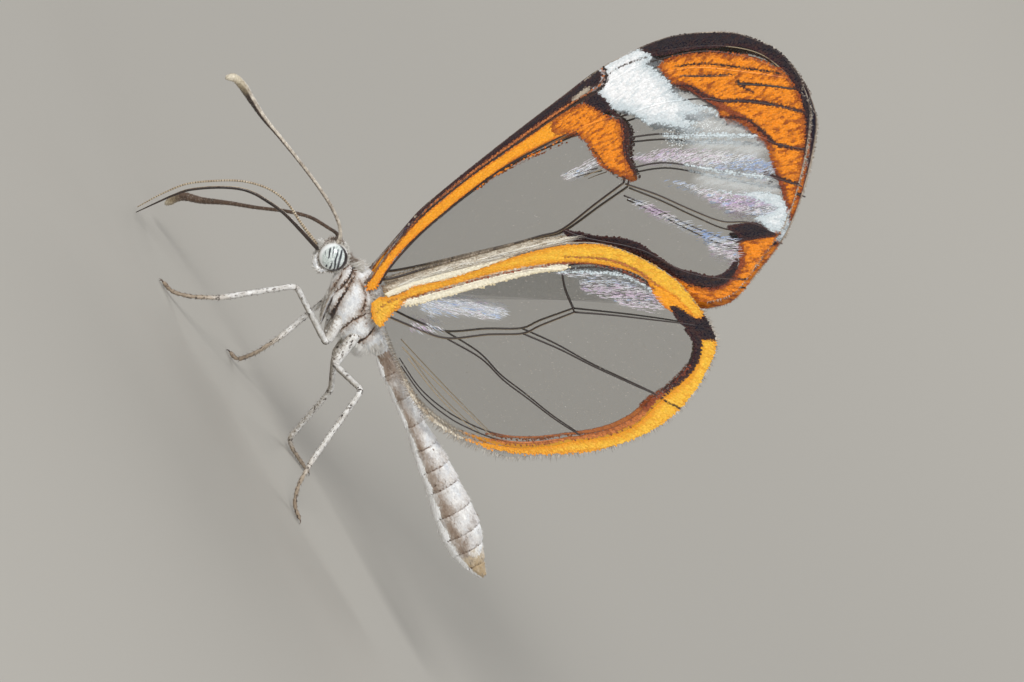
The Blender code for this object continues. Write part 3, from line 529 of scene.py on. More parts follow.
def sheet_plan(edges):
    """The wing's triangles in side view: its outline filled with an even net."""
    loop = outline_of(edges, SHEET_STEP)
    low, high = loop.min(0), loop.max(0)
    rows = []
    for row, z in enumerate(np.arange(low[1], high[1], SHEET_STEP * 0.87)):
        start = low[0] + (row % 2) * SHEET_STEP / 2
        rows.extend((x, z) for x in np.arange(start, high[0], SHEET_STEP))
    net = np.array(rows)
    net = net[depth_in(net, loop) > SHEET_STEP * 0.55]
    points = [Vector(point) for point in (*loop, *net)]
    count = len(loop)
    joins = [(index, (index + 1) % count) for index in range(count)]
    corners, _, faces, *_ = delaunay_2d_cdt(points, joins, [], 1, 1e-5, False)
    plan = np.array([(corner.x, corner.y) for corner in corners])
    return loop, plan, [tuple(face) for face in faces]


def add(tree, kind, inputs, output=0, **settings):
    """Adds a node with its settings, sets or links its inputs, and gives the output asked for."""
    node = tree.nodes.new("ShaderNode" + kind)
    for name, value in settings.items():
        setattr(node, name, value)
    for name, value in inputs.items():
        if isinstance(value, bpy.types.NodeSocket):
            tree.links.new(value, node.inputs[name])
        else:
            node.inputs[name].default_value = value
    return node.outputs[output]


def layered(tree, base, colours, grain, drift):
    """Lays each marking over the ones before it, ragged by the grain. Gives the colour and the cover."""
    colour = base
    cover = None
    for name, (inner, edge, reach, ragged, soft, mottle) in colours.items():
        drawn = add(tree, "Attribute", {}, "Fac", attribute_name=name)
        moved = add(tree, "Math", {0: grain, 1: 2 * ragged, 2: -ragged}, operation="MULTIPLY_ADD")
        depth = add(tree, "Math", {0: drawn, 1: moved}, operation="ADD")
        deep = add(tree, "MapRange", {"Value": depth, "From Max": reach})
        streaky = {"Value": drift, "From Min": 0.36, "From Max": 0.52, "To Min": 1 - mottle}
        patchy = add(tree, "MapRange", streaky)
        shade = add(tree, "Math", {0: deep, 1: patchy}, operation="MULTIPLY")
        tint = add(tree, "Mix", {0: shade, 6: linear(edge), 7: linear(inner)}, 2, data_type="RGBA")
        share = add(tree, "MapRange", {"Value": depth, "From Min": -soft, "From Max": soft})
        colour = add(tree, "Mix", {0: share, 6: colour, 7: tint}, 2, data_type="RGBA")
        cover = share if cover is None else add(tree, "Math", {0: cover, 1: share}, operation="MAXIMUM")
    return colour, cover


def toned(tree, colour, single):
    """The colour, a little darker or lighter from one scale to the next."""
    spread = {"Value": single, "From Min": 0.3, "From Max": 0.7, "To Min": 0.88, "To Max": 1.06}
    tone = add(tree, "MapRange", spread)
    return add(tree, "VectorMath", {0: colour, "Scale": tone}, operation="SCALE")


def wing_paint(name, kind):
    """Wing chitin: the clear membrane, which lets light through, the scales on it, or its veins."""
    paint, tree, surface = new_material(name)
    spot = add(tree, "Attribute", {}, "Vector", attribute_name="spot")
    rays = add(tree, "Attribute", {}, "Vector", attribute_name="rays")
    streak = add(tree, "TexNoise", {"Vector": rays, "Scale": 1 / STREAK_SIZE, "Detail": 2.0})
    fine = add(tree, "TexNoise", {"Vector": spot, "Scale": 1 / GRAIN_SIZE, "Detail": 1.0})
    both = add(tree, "Math", {0: fine, 1: streak}, operation="ADD")
    grain = add(tree, "Math", {0: both, 1: 0.5}, operation="MULTIPLY")
    if kind == "membrane":
        # Painted reflections in the sheen flecks: white, turning blue and pink in patches
        hue = add(tree, "TexNoise", {"Vector": spot, "Scale": 1 / BLUE_SIZE, "Detail": 2.0})
        blue = add(tree, "MapRange", {"Value": hue, "From Min": 0.5, "From Max": 0.58})
        shine = add(tree, "Mix", {0: blue, 6: linear("#f8f8f6"), 7: linear("#b4d2f7")}, 2, data_type="RGBA")
        hue = add(tree, "TexNoise", {"Vector": rays, "Scale": 1 / PINK_SIZE, "Detail": 1.0})
        pink = add(tree, "MapRange", {"Value": hue, "From Min": 0.53, "From Max": 0.62})
        shine = add(tree, "Mix", {0: pink, 6: shine, 7: linear("#f0cdec")}, 2, data_type="RGBA")
        painted_sheen_flecks = add(tree, "Attribute", {}, "Fac", attribute_name="painted_sheen_flecks")
        pearly = add(tree, "MapRange", {"Value": painted_sheen_flecks, "From Min": -0.1, "From Max": 0.2})
        lit = add(tree, "MapRange", {"Value": streak, "From Min": 0.5, "From Max": 0.62})
        fleck = add(tree, "Math", {0: pearly, 1: lit}, operation="MULTIPLY")
        # The sheen haze: a painted whitish sheen in streaks, which also lets less light through
        painted_sheen_haze = add(tree, "Attribute", {}, "Fac", attribute_name="painted_sheen_haze")
        sheen_haze_cover = add(tree, "MapRange", {"Value": painted_sheen_haze, "From Min": -0.2, "From Max": 0.3})
        streaky = {"Value": streak, "From Min": 0.3, "From Max": 0.65, "To Min": 0.2, "To Max": 0.42}
        sheen_haze_amount = add(tree, "Math", {0: sheen_haze_cover, 1: add(tree, "MapRange", streaky)}, operation="MULTIPLY")
        share = add(tree, "MapRange", {"Value": sheen_haze_amount, "From Max": 0.3})
        veil = add(tree, "Mix", {0: share, 6: linear(CLEAR_TINT), 7: linear("#e4e8e8")}, 2, data_type="RGBA")
        base = add(tree, "Mix", {0: fleck, 6: veil, 7: shine}, 2, data_type="RGBA")
    elif kind == "scales":
        base = add(tree, "Attribute", {}, "Vector", attribute_name="ground")
    else:
        gold = add(tree, "Attribute", {}, "Fac", attribute_name="gold")
        share = add(tree, "MapRange", {"Value": gold, "From Min": 0.2, "From Max": 0.5})
        base = add(tree, "Mix", {0: share, 6: linear("#26170f"), 7: linear("#a08c6c")}, 2, data_type="RGBA")
    colour, cover = layered(tree, base, WING_COLOURS, grain, streak)
    speck = add(tree, "TexNoise", {"Vector": spot, "Scale": 1 / SPECK_SIZE, "Detail": 0.0})
    tree.links.new(toned(tree, colour, speck), surface.inputs["Base Color"])
    if kind == "membrane":
        bare = add(tree, "Math", {0: sheen_haze_amount, 1: CLEAR_ALPHA}, operation="MAXIMUM")
        lit = add(tree, "Math", {0: fleck, 1: 0.6}, operation="MULTIPLY")
        bare = add(tree, "Math", {0: bare, 1: lit}, operation="MAXIMUM")
        cover = add(tree, "Math", {0: cover, 1: 0.97}, operation="MULTIPLY")
        alpha = add(tree, "Math", {0: bare, 1: cover}, operation="MAXIMUM")
        tree.links.new(alpha, surface.inputs["Alpha"])
        surface.inputs["Roughness"].default_value = 0.22
        surface.inputs["Thin Film Thickness"].default_value = 320
        surface.inputs["Thin Film IOR"].default_value = 1.45
    else:
        surface.inputs["Roughness"].default_value = 0.5
        surface.inputs["Sheen Weight"].default_value = 0.1
    surface.inputs["IOR"].default_value = CHITIN_IOR
    rise = add(tree, "Bump", {"Height": speck, "Strength": 0.25, "Distance": 0.00002})
    tree.links.new(rise, surface.inputs["Normal"])
    return paint


# The membrane is smooth and glassy, with the faint hues of a thin film. The scales on it and
# the scaled veins are dry and satin
membrane_paint = wing_paint("clear_chitin_membrane", "membrane")
wing_scale_paint = wing_paint("overlapping_wing_scales", "scales")
vein_paint = wing_paint("scaled_vein_chitin", "veins")


def wing_values(plan, wing, third=0.0):
    """The values that the wing's paints read, for places on the wing drawn flat."""
    spots = np.c_[plan, np.broadcast_to(third, len(plan))]
    return {**wing_depths(plan, wing["marks"], wing["bands"]), "spot": spots, "rays": rays_of(plan)}


BOTH_SIDES = (("left", -1), ("right", 1))
WINGS = {}
for kind, edges, marks, bands, out, shift in (
    ("forewing", FOREWING_EDGES, FOREWING_MARKS, FOREWING_BANDS, FOREWING_OUT, np.zeros(2)),
    ("hindwing", HINDWING_EDGES, HINDWING_MARKS, HINDWING_BANDS, HINDWING_OUT, HINDWING_SHIFT),
):
    loop, plan, faces = sheet_plan(edges)
    for side, sign in BOTH_SIDES:
        wing = {"loop": loop, "marks": marks, "bands": bands, "out": out, "sign": sign}
        wing["angle"] = RIGHT_WING_TURN[kind] if side == "right" else 0.0
        wing["shift"] = shift + RIGHT_WING_SHIFT[kind] if side == "right" else shift
        WINGS[kind, side] = wing
        points = in_space(held(plan, wing), out, sign)
        values = wing_values(plan, wing)
        name = f"{kind}_membrane_{side}"
        new_piece(name, points, faces, membrane_paint, (f"{kind}_{side}",), values)


# The wings' scales: flat blades of chitin about a sixth of a millimetre long, each rooted
# in a socket of the membrane and lying over the next one out, like tiles on a roof. The far
# ends lift a little, which gives the coloured parts their grain.
SCALE_LENGTH = 0.17
SCALE_WIDTH = 0.12
SCALE_SPACING = 0.115
# How far a scale's root stands off the sheet
SCALE_LIFT = 0.012
# A lone scale in the dusty places has this share of the length
LONE_SCALE = 0.55
# Along the scale, across it and up, in shares of its length and width
SCALE_FORM = np.array(
    ((0, 0, 0), (0.35, 0.5, 0.03), (0.35, -0.5, 0.03), (0.85, 0.42, 0.09), (0.85, -0.42, 0.09), (1, 0, 0.1),
     (0.4, 0, 0.07))
)
SCALE_FACES = ((0, 2, 6), (0, 6, 1), (2, 4, 6), (6, 3, 1), (4, 5, 6), (6, 5, 3))
# How much of the unwrap one small form takes up
UV_PATCH = 0.003


def unit(vectors):
    """The same directions, each one long."""
    return vectors / np.maximum(np.linalg.norm(vectors, axis=1), 1e-9)[:, None]


def joined(name, points, form_faces, patch, unwrap, values, paint, smooth=True):
    """One piece from many copies of a small form, each with a small patch of the unwrap."""
    count, size, _ = points.shape
    index = np.arange(count)[:, None, None] * size + np.array(form_faces)[None]
    index = index.reshape(-1, len(form_faces[0]))
    spread = {key: np.repeat(np.asarray(value), size, axis=0) for key, value in values.items()}
    made = new_piece(name, points.reshape(-1, 3), index, paint, (), spread, smooth)
    layer = made.data.uv_layers.new(name="OFBake")
    uvs = (unwrap[:, None] + (patch * UV_PATCH * 0.5)[None]).reshape(-1, 2)
    layer.data.foreach_set("uv", uvs[index.ravel()].astype(np.float32).ravel())


def scatter(name, roots, along, normal, length, width, unwrap, values, paint):
    """Scales at many roots, as one piece."""
    along = unit(along - (along * normal).sum(1)[:, None] * normal)
    side = np.cross(normal, along)
    length = np.broadcast_to(length, len(roots))[:, None, None]
    width = np.broadcast_to(width, len(roots))[:, None, None]
    far, out, up = SCALE_FORM[:, :1], SCALE_FORM[:, 1:2], SCALE_FORM[:, 2:]
    points = roots[:, None] + far * along[:, None] * length
    points = points + out * side[:, None] * width + up * normal[:, None] * length
    patch = SCALE_FORM[:, :2] - (0.5, 0)
    joined(name, points, SCALE_FACES, patch, unwrap, values, paint, smooth=False)


def wing_unwrap(plan):
    """The sheet's own flat plan, scaled to fill a square."""
    return (plan - (0, 8)) / 34.0


def sideways(sign, count):
    """The way straight out to one side, for each of many places."""
    return np.tile((0.0, sign, 0.0), (count, 1))


for (kind, side), wing in WINGS.items():
    rng = np.random.default_rng(11)
    low, high = wing["loop"].min(0), wing["loop"].max(0)
    rows = np.arange(low[1], high[1], SCALE_SPACING)
    columns = np.arange(low[0], high[0], SCALE_SPACING)
    plan = np.stack(np.meshgrid(columns, rows), axis=-1).reshape(-1, 2)
    plan = plan + rng.uniform(-0.5, 0.5, plan.shape) * SCALE_SPACING
    plan = plan[depth_in(plan, wing["loop"]) > 0.06]
    values = wing_values(plan, wing, rng.random(len(plan)))
    solid = np.max([values[name] for name in WING_COLOURS if name != "line"], axis=0)
    dust = values["dust"]
    chance = np.where(solid + rng.normal(0, 0.04, len(plan)) > 0.02, 1.0, 0.0)
    chance = np.maximum(chance, (dust * 1.2 + 0.15).clip(0, 0.5) * (dust > 0))
    kept = rng.random(len(plan)) < chance
    plan, solid = plan[kept], solid[kept]
    values = {name: value[kept] for name, value in values.items()}
    # A scale that lies just outside its marking still has the colour of the marking's edge
    edges = np.array([linear(row[1])[:3] for row in WING_COLOURS.values()])
    deepest = np.argmax([values[name] for name in WING_COLOURS], axis=0)
    values["ground"] = np.where((solid > -0.12)[:, None], edges[deepest], linear("#eef3f3")[:3])
    places = held(plan, wing)
    roots = in_space(places, wing["out"] + SCALE_LIFT, wing["sign"])
    normal = unit(sideways(wing["sign"], len(plan)) + rng.normal(0, 0.06, (len(plan), 3)))
    away = places - WING_ROOT
    along = unit(np.c_[away[:, 0], np.zeros(len(plan)), away[:, 1]]) + rng.normal(0, 0.12, (len(plan), 3))
    length = SCALE_LENGTH * rng.uniform(0.8, 1.15, len(plan))
    width = SCALE_WIDTH * rng.uniform(0.8, 1.1, len(plan))
    slight = np.where(solid < -0.05, LONE_SCALE, 1.0)
    length, width = length * slight, width * slight**1.5
    scatter(
        f"{kind}_scales_{side}", roots, along, normal, length, width, wing_unwrap(plan), values,
        wing_scale_paint,
    )


# The wings' veins: hollow chitin tubes that carry the membranes, dark brown and up to a
# fifth of a millimetre thick, forking towards the margins. They stand proud on both faces.
# Each is a line in side view, with its radius at the root and at the margin.
FOREWING_VEINS = (
    (((6.9, 10.9), (6.12, 12.3), (5.42, 14.3), (4.82, 16.8), (4.3, 20.0), (4.0, 22.8), (3.6, 27.4),
      (3.4, 30.8), (3.8, 33.2), (4.6, 35.4), (6.0, 37.3), (7.6, 38.6), (9.3, 39.1)), 0.05, 0.05),
    (((7.45, 11.1), (6.8, 12.4), (6.02, 14.9), (5.36, 18.1), (4.95, 21.1), (4.95, 24.2), (5.2, 27.4),
      (5.7, 29.0)), 0.07, 0.06),
    (((5.7, 29.0), (6.1, 31.3), (6.7, 32.9), (7.3, 34.1), (7.95, 34.9), (8.5, 35.9), (9.4, 37.1),
      (11.0, 38.8)), 0.06, 0.045),
    (((5.0, 27.3), (4.6, 29.5), (4.5, 32.0), (5.2, 34.4), (7.3, 37.4), (8.6, 39.0)), 0.05, 0.06),
    (((7.0, 28.6), (7.8, 30.5), (9.0, 32.4), (9.6, 33.4), (10.8, 35.5), (11.9, 36.4), (13.1, 37.8)),
     0.06, 0.045),
    (((8.8, 27.9), (9.2, 29.2), (9.8, 30.3), (11.4, 32.25), (13.0, 34.25), (13.6, 35.1), (15.0, 36.4)),
     0.055, 0.045),
    (((9.5, 27.15), (11.1, 28.5), (12.9, 29.8), (14.5, 31.1), (15.4, 32.5), (17.0, 33.8)), 0.065, 0.045),
    (((7.35, 11.4), (7.7, 12.4), (8.6, 16.1), (9.2, 18.5), (9.8, 21.0), (10.1, 22.4), (9.7, 25.0),
      (9.4, 27.1)), 0.09, 0.075),
    (((9.4, 27.1), (8.6, 27.7), (7.5, 28.2), (6.8, 28.5), (5.7, 29.0)), 0.06, 0.05),
    (((10.1, 22.4), (11.2, 23.3), (13.6, 25.9), (16.1, 27.5), (17.6, 29.2), (18.4, 30.5)), 0.07, 0.045),
    (((10.1, 26.7), (11.7, 27.9), (13.5, 29.1), (15.2, 30.4), (16.0, 31.2)), 0.05, 0.035),
    (((8.1, 11.8), (9.3, 15.6), (10.9, 20.25), (13.6, 24.4), (17.9, 27.6)), 0.08, 0.05),
    (((5.1, 33.2), (6.0, 34.7), (6.8, 36.2)), 0.055, 0.05),
    (((7.3, 36.0), (8.4, 37.7), (9.5, 39.1)), 0.06, 0.055),
    (((3.0, 31.8), (3.45, 33.6), (4.75, 36.35), (6.4, 38.3), (8.5, 39.2)), 0.039, 0.036),
    (((2.5, 28.8), (2.42, 30.4), (2.75, 33.8), (3.8, 36.4), (4.95, 38.0), (6.9, 39.3), (9.1, 39.6),
      (11.2, 39.1), (14.0, 37.0), (16.5, 34.3), (18.1, 31.0)), 0.036, 0.039),
    (((7.8, 26.2), (7.55, 25.3), (7.4, 24.6)), 0.04, 0.02),
    (((8.0, 26.4), (7.9, 25.8), (7.85, 25.2)), 0.035, 0.02),
)
HINDWING_VEINS = (
    (((9.0, 11.2), (9.55, 13.4), (10.0, 15.2), (10.6, 17.5), (11.4, 19.9), (12.2, 21.2), (13.2, 23.2),
      (15.6, 25.3)), 0.06, 0.045),
    (((9.1, 10.3), (11.2, 11.8), (12.5, 13.0), (13.5, 15.2), (14.5, 17.1), (14.6, 18.3), (14.9, 20.5)),
     0.08, 0.065),
    (((12.3, 21.1), (13.4, 20.7), (14.9, 20.5)), 0.05, 0.05),
    (((14.9, 20.5), (16.5, 22.8), (18.5, 25.5), (19.4, 26.6)), 0.06, 0.045),
    (((14.5, 17.1), (16.4, 18.5), (18.4, 19.75), (20.2, 21.0), (22.1, 22.35), (23.2, 23.1)), 0.06, 0.045),
    (((12.5, 12.95), (14.6, 14.1), (16.5, 14.6), (18.2, 15.3), (20.2, 16.1), (22.0, 17.0)), 0.06, 0.045),
    (((11.6, 10.3), (14.1, 10.9), (16.5, 11.5), (19.7, 12.35)), 0.035, 0.025),
    (((12.4, 10.25), (15.7, 10.7), (19.3, 11.75)), 0.03, 0.025),
    (((12.6, 9.65), (14.5, 9.78), (15.8, 10.1), (17.1, 10.65), (18.0, 11.2), (19.2, 12.1), (20.2, 13.2),
      (20.9, 14.4), (21.4, 15.6)), 0.04, 0.05),
)
VEIN_SIDES = 8
VEIN_STEP = 0.28
# Below the one radius a vein is pale all round, and up to the other dark all round
PALE_VEIN = 0.04
DARK_VEIN = 0.06


def tube_rings(path, radii, sides, flat=1.0, flat_way=(0, 1, 0)):
    """Rings of points round a path, squeezed by flat along flat_way. Gives the rings and normals."""
    ways = unit(np.gradient(path, axis=0))
    across = np.cross(ways, np.array(flat_way, float))
    bad = np.linalg.norm(across, axis=1) < 0.1
    across[bad] = np.cross(ways[bad], (0, 0, 1.0))
    across = unit(across)
    other = np.cross(across, ways)
    angles = 2 * np.pi * np.arange(sides) / sides
    cosine = np.cos(angles)[None, :, None]
    sine = np.sin(angles)[None, :, None]
    radii = np.asarray(radii)[:, None, None]
    normals = cosine * across[:, None] + sine * other[:, None]
    rings = path[:, None] + radii * (cosine * across[:, None] + flat * sine * other[:, None])
    return rings, normals


def ring_faces(count, sides, first=0):
    """Quads between rings, and a fan to a middle point at each end. The middle points come last."""
    faces = []
    for ring in range(count - 1):
        for side in range(sides):
            after = (side + 1) % sides
            low = first + ring * sides
            faces.append((low + side, low + after, low + sides + after, low + sides + side))
    start, end = first + count * sides, first + count * sides + 1
    for side in range(sides):
        after = (side + 1) % sides
        faces.append((first + after, first + side, start))
        faces.append((first + (count - 1) * sides + side, first + (count - 1) * sides + after, end))
    return faces


def closed_rings(rings):
    """The points of the rings and of the middles of their two ends."""
    return np.vstack((rings.reshape(-1, 3), rings[0].mean(0), rings[-1].mean(0)))


def on_rings(values, sides):
    """What holds for each ring, for each point of the closed rings."""
    return np.concatenate((np.repeat(values, sides, axis=0), values[:1], values[-1:]))


for (kind, side), wing in WINGS.items():
    points, faces, plans, golds = [], [], [], []
    for line, start, end in FOREWING_VEINS if kind == "forewing" else HINDWING_VEINS:
        plan = smooth_path(line, VEIN_STEP)
        path = in_space(held(plan, wing), wing["out"], wing["sign"])
        rings, normals = tube_rings(path, np.linspace(start, end, len(path)), VEIN_SIDES, flat=0.8)
        # The thinnest veins are pale all round, and the thick ones along their lower side
        paleness = 0.0
        if start <= DARK_VEIN:
            paleness = 0.9 if start < PALE_VEIN else -1.5
        golds.append(np.r_[(normals @ np.array((0.85, 0.0, -0.5))).ravel(), 0, 0] + paleness)
        faces.extend(ring_faces(len(rings), VEIN_SIDES, sum(len(part) for part in points)))
        points.append(closed_rings(rings))
        plans.append(on_rings(plan, VEIN_SIDES))
    values = {**wing_values(np.vstack(plans), wing), "gold": np.concatenate(golds)}
    new_piece(f"{kind}_veins_{side}", np.vstack(points), faces, vein_paint, (), values)


# The wings' fringe: a row of hair-like scales along the outer and rear margins, a tenth to
# nearly half a millimetre long, grey-brown with pale tips, and untidy as on a wing that has
# flown. Each is rooted in the edge of the membrane.
# A hair's form: a triangle at its root, a smaller one halfway along, and its tip
HAIR_ROUND = np.array(((1, 0), (-0.5, 0.87), (-0.5, -0.87)))
HAIR_SECTION = np.vstack((HAIR_ROUND, HAIR_ROUND * 0.7, (0, 0)))
HAIR_ALONG = np.array((0, 0, 0, 0.5, 0.5, 0.5, 1))
HAIR_FACES = (
    (0, 1, 4), (0, 4, 3), (1, 2, 5), (1, 5, 4), (2, 0, 3), (2, 3, 5), (3, 4, 6), (4, 5, 6), (5, 3, 6)
)
HAIR_BOW = 0.18
FRINGE_REACH = {"forewing": (0.1, 0.2), "hindwing": (0.2, 0.4)}


def hairs(name, roots, along, normal, length, radius, unwrap, tone, paint):
    """Fine tapered hairs that bow a little towards the normal, each with a tone of its own."""
    along = unit(along)
    side = unit(np.cross(normal, along))
    up = np.cross(along, side)
    length = np.broadcast_to(length, len(roots))[:, None, None]
    across, rise = HAIR_SECTION[:, :1], HAIR_SECTION[:, 1:]
    bow = HAIR_ALONG[:, None] ** 2 * HAIR_BOW
    points = roots[:, None] + HAIR_ALONG[:, None] * along[:, None] * length + bow * up[:, None] * length
    points = points + across * side[:, None] * radius + rise * up[:, None] * radius
    patch = np.stack((HAIR_ALONG - 0.5, HAIR_SECTION[:, 0] * 0.5), axis=1)
    joined(name, points, HAIR_FACES, patch, unwrap, {"tone": tone}, paint)


def hair_paint(name, colours, roughness=0.55):
    """Hair-like scales, soft and a little silky. Each hair's tone picks its own colour."""
    paint, tree, surface = new_material(name)
    tone = add(tree, "Attribute", {}, "Fac", attribute_name="tone")
    colour = add(tree, "ValToRGB", {"Fac": tone})
    steps = colour.node.color_ramp.elements
    steps[0].color = linear(colours[0])
    steps[1].color = linear(colours[-1])
    for index, code in enumerate(colours[1:-1]):
        steps.new((index + 1) / (len(colours) - 1)).color = linear(code)
    tree.links.new(colour, surface.inputs["Base Color"])
    surface.inputs["Roughness"].default_value = roughness
    surface.inputs["Sheen Weight"].default_value = 0.2
    return paint


def ways_of(line):
    """The way along a line in side view, and the way across it, at each of its points."""
    tangent = unit(np.gradient(line, axis=0))
    return tangent, np.stack((-tangent[:, 1], tangent[:, 0]), axis=1)


fringe_paint = hair_paint("fringe_scales", ("#5a4a3e", "#93826f", "#c3b6a4", "#ece5d8"))

for (kind, side), wing in WINGS.items():
    rng = np.random.default_rng(23)
    edges = FOREWING_EDGES if kind == "forewing" else HINDWING_EDGES
    roots, ways = [], []
    for margin in edges[1:3]:
        line = smooth_path(margin, 0.05)
        tangent, outward = ways_of(line)
        outward[inside(line + outward * 0.2, wing["loop"])] *= -1
        spare = rng.random(len(line)) < 0.9
        roots.append(line[spare] - outward[spare] * 0.03)
        ways.append(outward[spare] + tangent[spare] * rng.normal(0.15, 0.3, spare.sum())[:, None])
    plan = np.vstack(roots)
    way = rotated(np.vstack(ways), np.zeros(2), wing["angle"])
    root = in_space(held(plan, wing), wing["out"], wing["sign"])
    along = np.c_[way[:, 0], rng.normal(0, 0.25, len(way)), way[:, 1]]
    length = rng.uniform(*FRINGE_REACH[kind], len(way)) * np.where(rng.random(len(way)) < 0.1, 1.4, 1.0)
    tone = rng.random(len(way))
    hairs(
        f"{kind}_fringe_{side}", root, along, sideways(wing["sign"], len(way)), length, 0.017,
        wing_unwrap(plan), tone, fringe_paint,
    )


# The male's hair pencil: a long, flat brush of pale and brown hairs, one to two millimetres
# long, that lies along the hindwing's front edge and shows between the two wings. The clear
# cells of all the wings carry only a few fine hairs, far apart, and slender hairs lie flat in
# the sheen streaks, coloured blue, white and pink as painted reflections.
PENCIL_LINE = ((8.2, 11.4), (8.4, 13.0), (9.35, 17.1), (10.6, 21.6))
PENCIL_HAIRS = 620
CLEAR_HAIRS = 1500
# How many hairs with painted reflections there would be on a square millimetre that lies all in the sheen
# flecks
SHEEN_HAIRS = 90
pencil_paint = hair_paint("pencil_hair", ("#5f4c3d", "#b09d82", "#e4dac5", "#fbf8ef"))
sheen_hair_paint = hair_paint(
    "hair_scales_painted_sheen", ("#9dbcf0", "#dfe9fa", "#ffffff", "#f0dcee", "#d9b8e4"), 0.3
)


def wavy(points, size, seed):
    """Smooth lumps from -1 to 1, about size millimetres across, the same for the skin and its coat."""
    rng = np.random.default_rng(seed)
    total = np.zeros(len(points))
    for _ in range(7):
        way = rng.normal(0, 1, 3)
        way = way / np.linalg.norm(way) * 2 * math.pi / size / rng.uniform(0.8, 2.4)
        total += np.sin(points @ way + rng.uniform(0, 6.28))
    return total / 3.2


for (kind, side), wing in WINGS.items():
    rng = np.random.default_rng(29)
    sign = wing["sign"]
    low, high = wing["loop"].min(0), wing["loop"].max(0)
    plan = rng.uniform(low, high, (CLEAR_HAIRS, 2))
    values = wing_depths(plan, wing["marks"], wing["bands"])
    solid = np.max([values[name] for name in WING_COLOURS], axis=0)
    plan = plan[(depth_in(plan, wing["loop"]) > 0.3) & (solid < -0.1)]
    spread = held(plan, wing) - WING_ROOT
    along = np.c_[spread[:, 0], rng.normal(0, 4.0, len(plan)), spread[:, 1]]
    root = in_space(held(plan, wing), wing["out"] + 0.01, sign)
    length = rng.uniform(0.07, 0.14, len(plan))
    tone = rng.uniform(0.1, 0.9, len(plan))
    hairs(
        f"{kind}_clear_hairs_{side}", root, along, sideways(sign, len(plan)), length, 0.006,
        wing_unwrap(plan), tone, pencil_paint,
    )

    # Hairs in the sheen flecks, coloured blue, white and pink as painted reflections
    plan = rng.uniform(low, high, (int(float(np.prod(high - low)) * SHEEN_HAIRS), 2))
    values = wing_depths(plan, wing["marks"], wing["bands"])
    solid = np.max([values[name] for name in WING_COLOURS], axis=0)
    lit = (values["painted_sheen_flecks"] + rng.normal(0, 0.06, len(plan)) > 0) & (solid < 0)
    plan = plan[lit & (depth_in(plan, wing["loop"]) > 0.4)]
    spread = held(plan, wing) - WING_ROOT
    along = unit(np.c_[spread[:, 0], np.zeros(len(plan)), spread[:, 1]]) + rng.normal(0, 0.05, (len(plan), 3))
    root = in_space(held(plan, wing), wing["out"] + 0.02, sign)
    streaks = wavy(np.c_[rays_of(plan)[:, :2] * (0.5, 1), np.zeros(len(plan))], 0.8, 9)
    tone = (0.5 + 0.32 * streaks + rng.normal(0, 0.1, len(plan))).clip(0, 1)
    length = rng.uniform(0.2, 0.45, len(plan))
    hairs(
        f"{kind}_painted_sheen_hairs_{side}", root, along, sideways(sign, len(plan)), length, 0.013,
        wing_unwrap(plan), tone, sheen_hair_paint,
    )
    if kind == "forewing":
        continue

    line = smooth_path(PENCIL_LINE, 0.05)
    tangent, across = ways_of(line)
    pick = rng.integers(0, len(line), PENCIL_HAIRS)
    plan = line[pick] + across[pick] * rng.uniform(-0.25, 0.22, PENCIL_HAIRS)[:, None]
    fan = rng.normal(0.05, 0.045, PENCIL_HAIRS)[:, None]
    way = rotated(tangent[pick] + across[pick] * fan, np.zeros(2), wing["angle"])
    along = np.c_[way[:, 0], sign * rng.normal(0.01, 0.03, PENCIL_HAIRS), way[:, 1]]
    root = in_space(held(plan, wing), wing["out"] - 0.12, sign)
    out = sideways(-sign, PENCIL_HAIRS) + np.c_[way[:, 1], np.zeros(PENCIL_HAIRS), -way[:, 0]]
    length = rng.uniform(0.9, 2.2, PENCIL_HAIRS)
    tone = rng.random(PENCIL_HAIRS) ** 0.45
    hairs(
        f"hair_pencil_{side}", root, along, unit(out), length, 0.02, wing_unwrap(plan), tone,
        pencil_paint,
    )


# The body: head, thorax and abdomen under one skin of soft plates, with a waist between the
# thorax and abdomen. Rows: X, height of the underside and of the back, and half width.
BODY = (
    (3.74, 9.15, 9.65, 0.14),
    (3.86, 8.92, 9.88, 0.38),
    (4.2, 8.7, 10.12, 0.56),
    (4.75, 8.62, 10.26, 0.62),
    (5.12, 8.76, 10.12, 0.6),
    (5.4, 9.0, 10.0, 0.5),
    (5.65, 9.0, 10.15, 0.55),
    (6.0, 8.6, 10.52, 0.78),
    (6.6, 7.95, 10.88, 1.05),
    (7.4, 7.4, 11.0, 1.25),
    (8.4, 7.2, 10.8, 1.3),
    (9.4, 7.25, 10.35, 1.2),
    (10.2, 7.72, 9.85, 0.96),
    (10.8, 8.12, 9.55, 0.7),
    (11.25, 8.36, 9.42, 0.48),
    (11.6, 8.4, 9.36, 0.42),
    (13.0, 8.12, 9.32, 0.52),
    (15.0, 7.92, 9.12, 0.57),
    (17.0, 7.62, 9.02, 0.65),
    (19.0, 7.14, 9.06, 0.84),
    (21.0, 6.74, 8.96, 0.98),
    (22.5, 6.32, 8.86, 1.06),
    (24.0, 6.14, 8.66, 1.04),
    (25.2, 6.24, 8.16, 0.81),
    (26.3, 6.64, 7.66, 0.46),
    (26.95, 7.0, 7.4, 0.14),
)
ABDOMEN_RINGS = (11.5, 12.9, 14.6, 16.4, 18.0, 19.4, 20.7, 22.35, 23.8, 24.9, 26.0, 27.1)
# How far a ring's rear edge stands out, and how far its top leans back over its bottom
RING_STEP = 0.055
RING_LEAN = 0.12
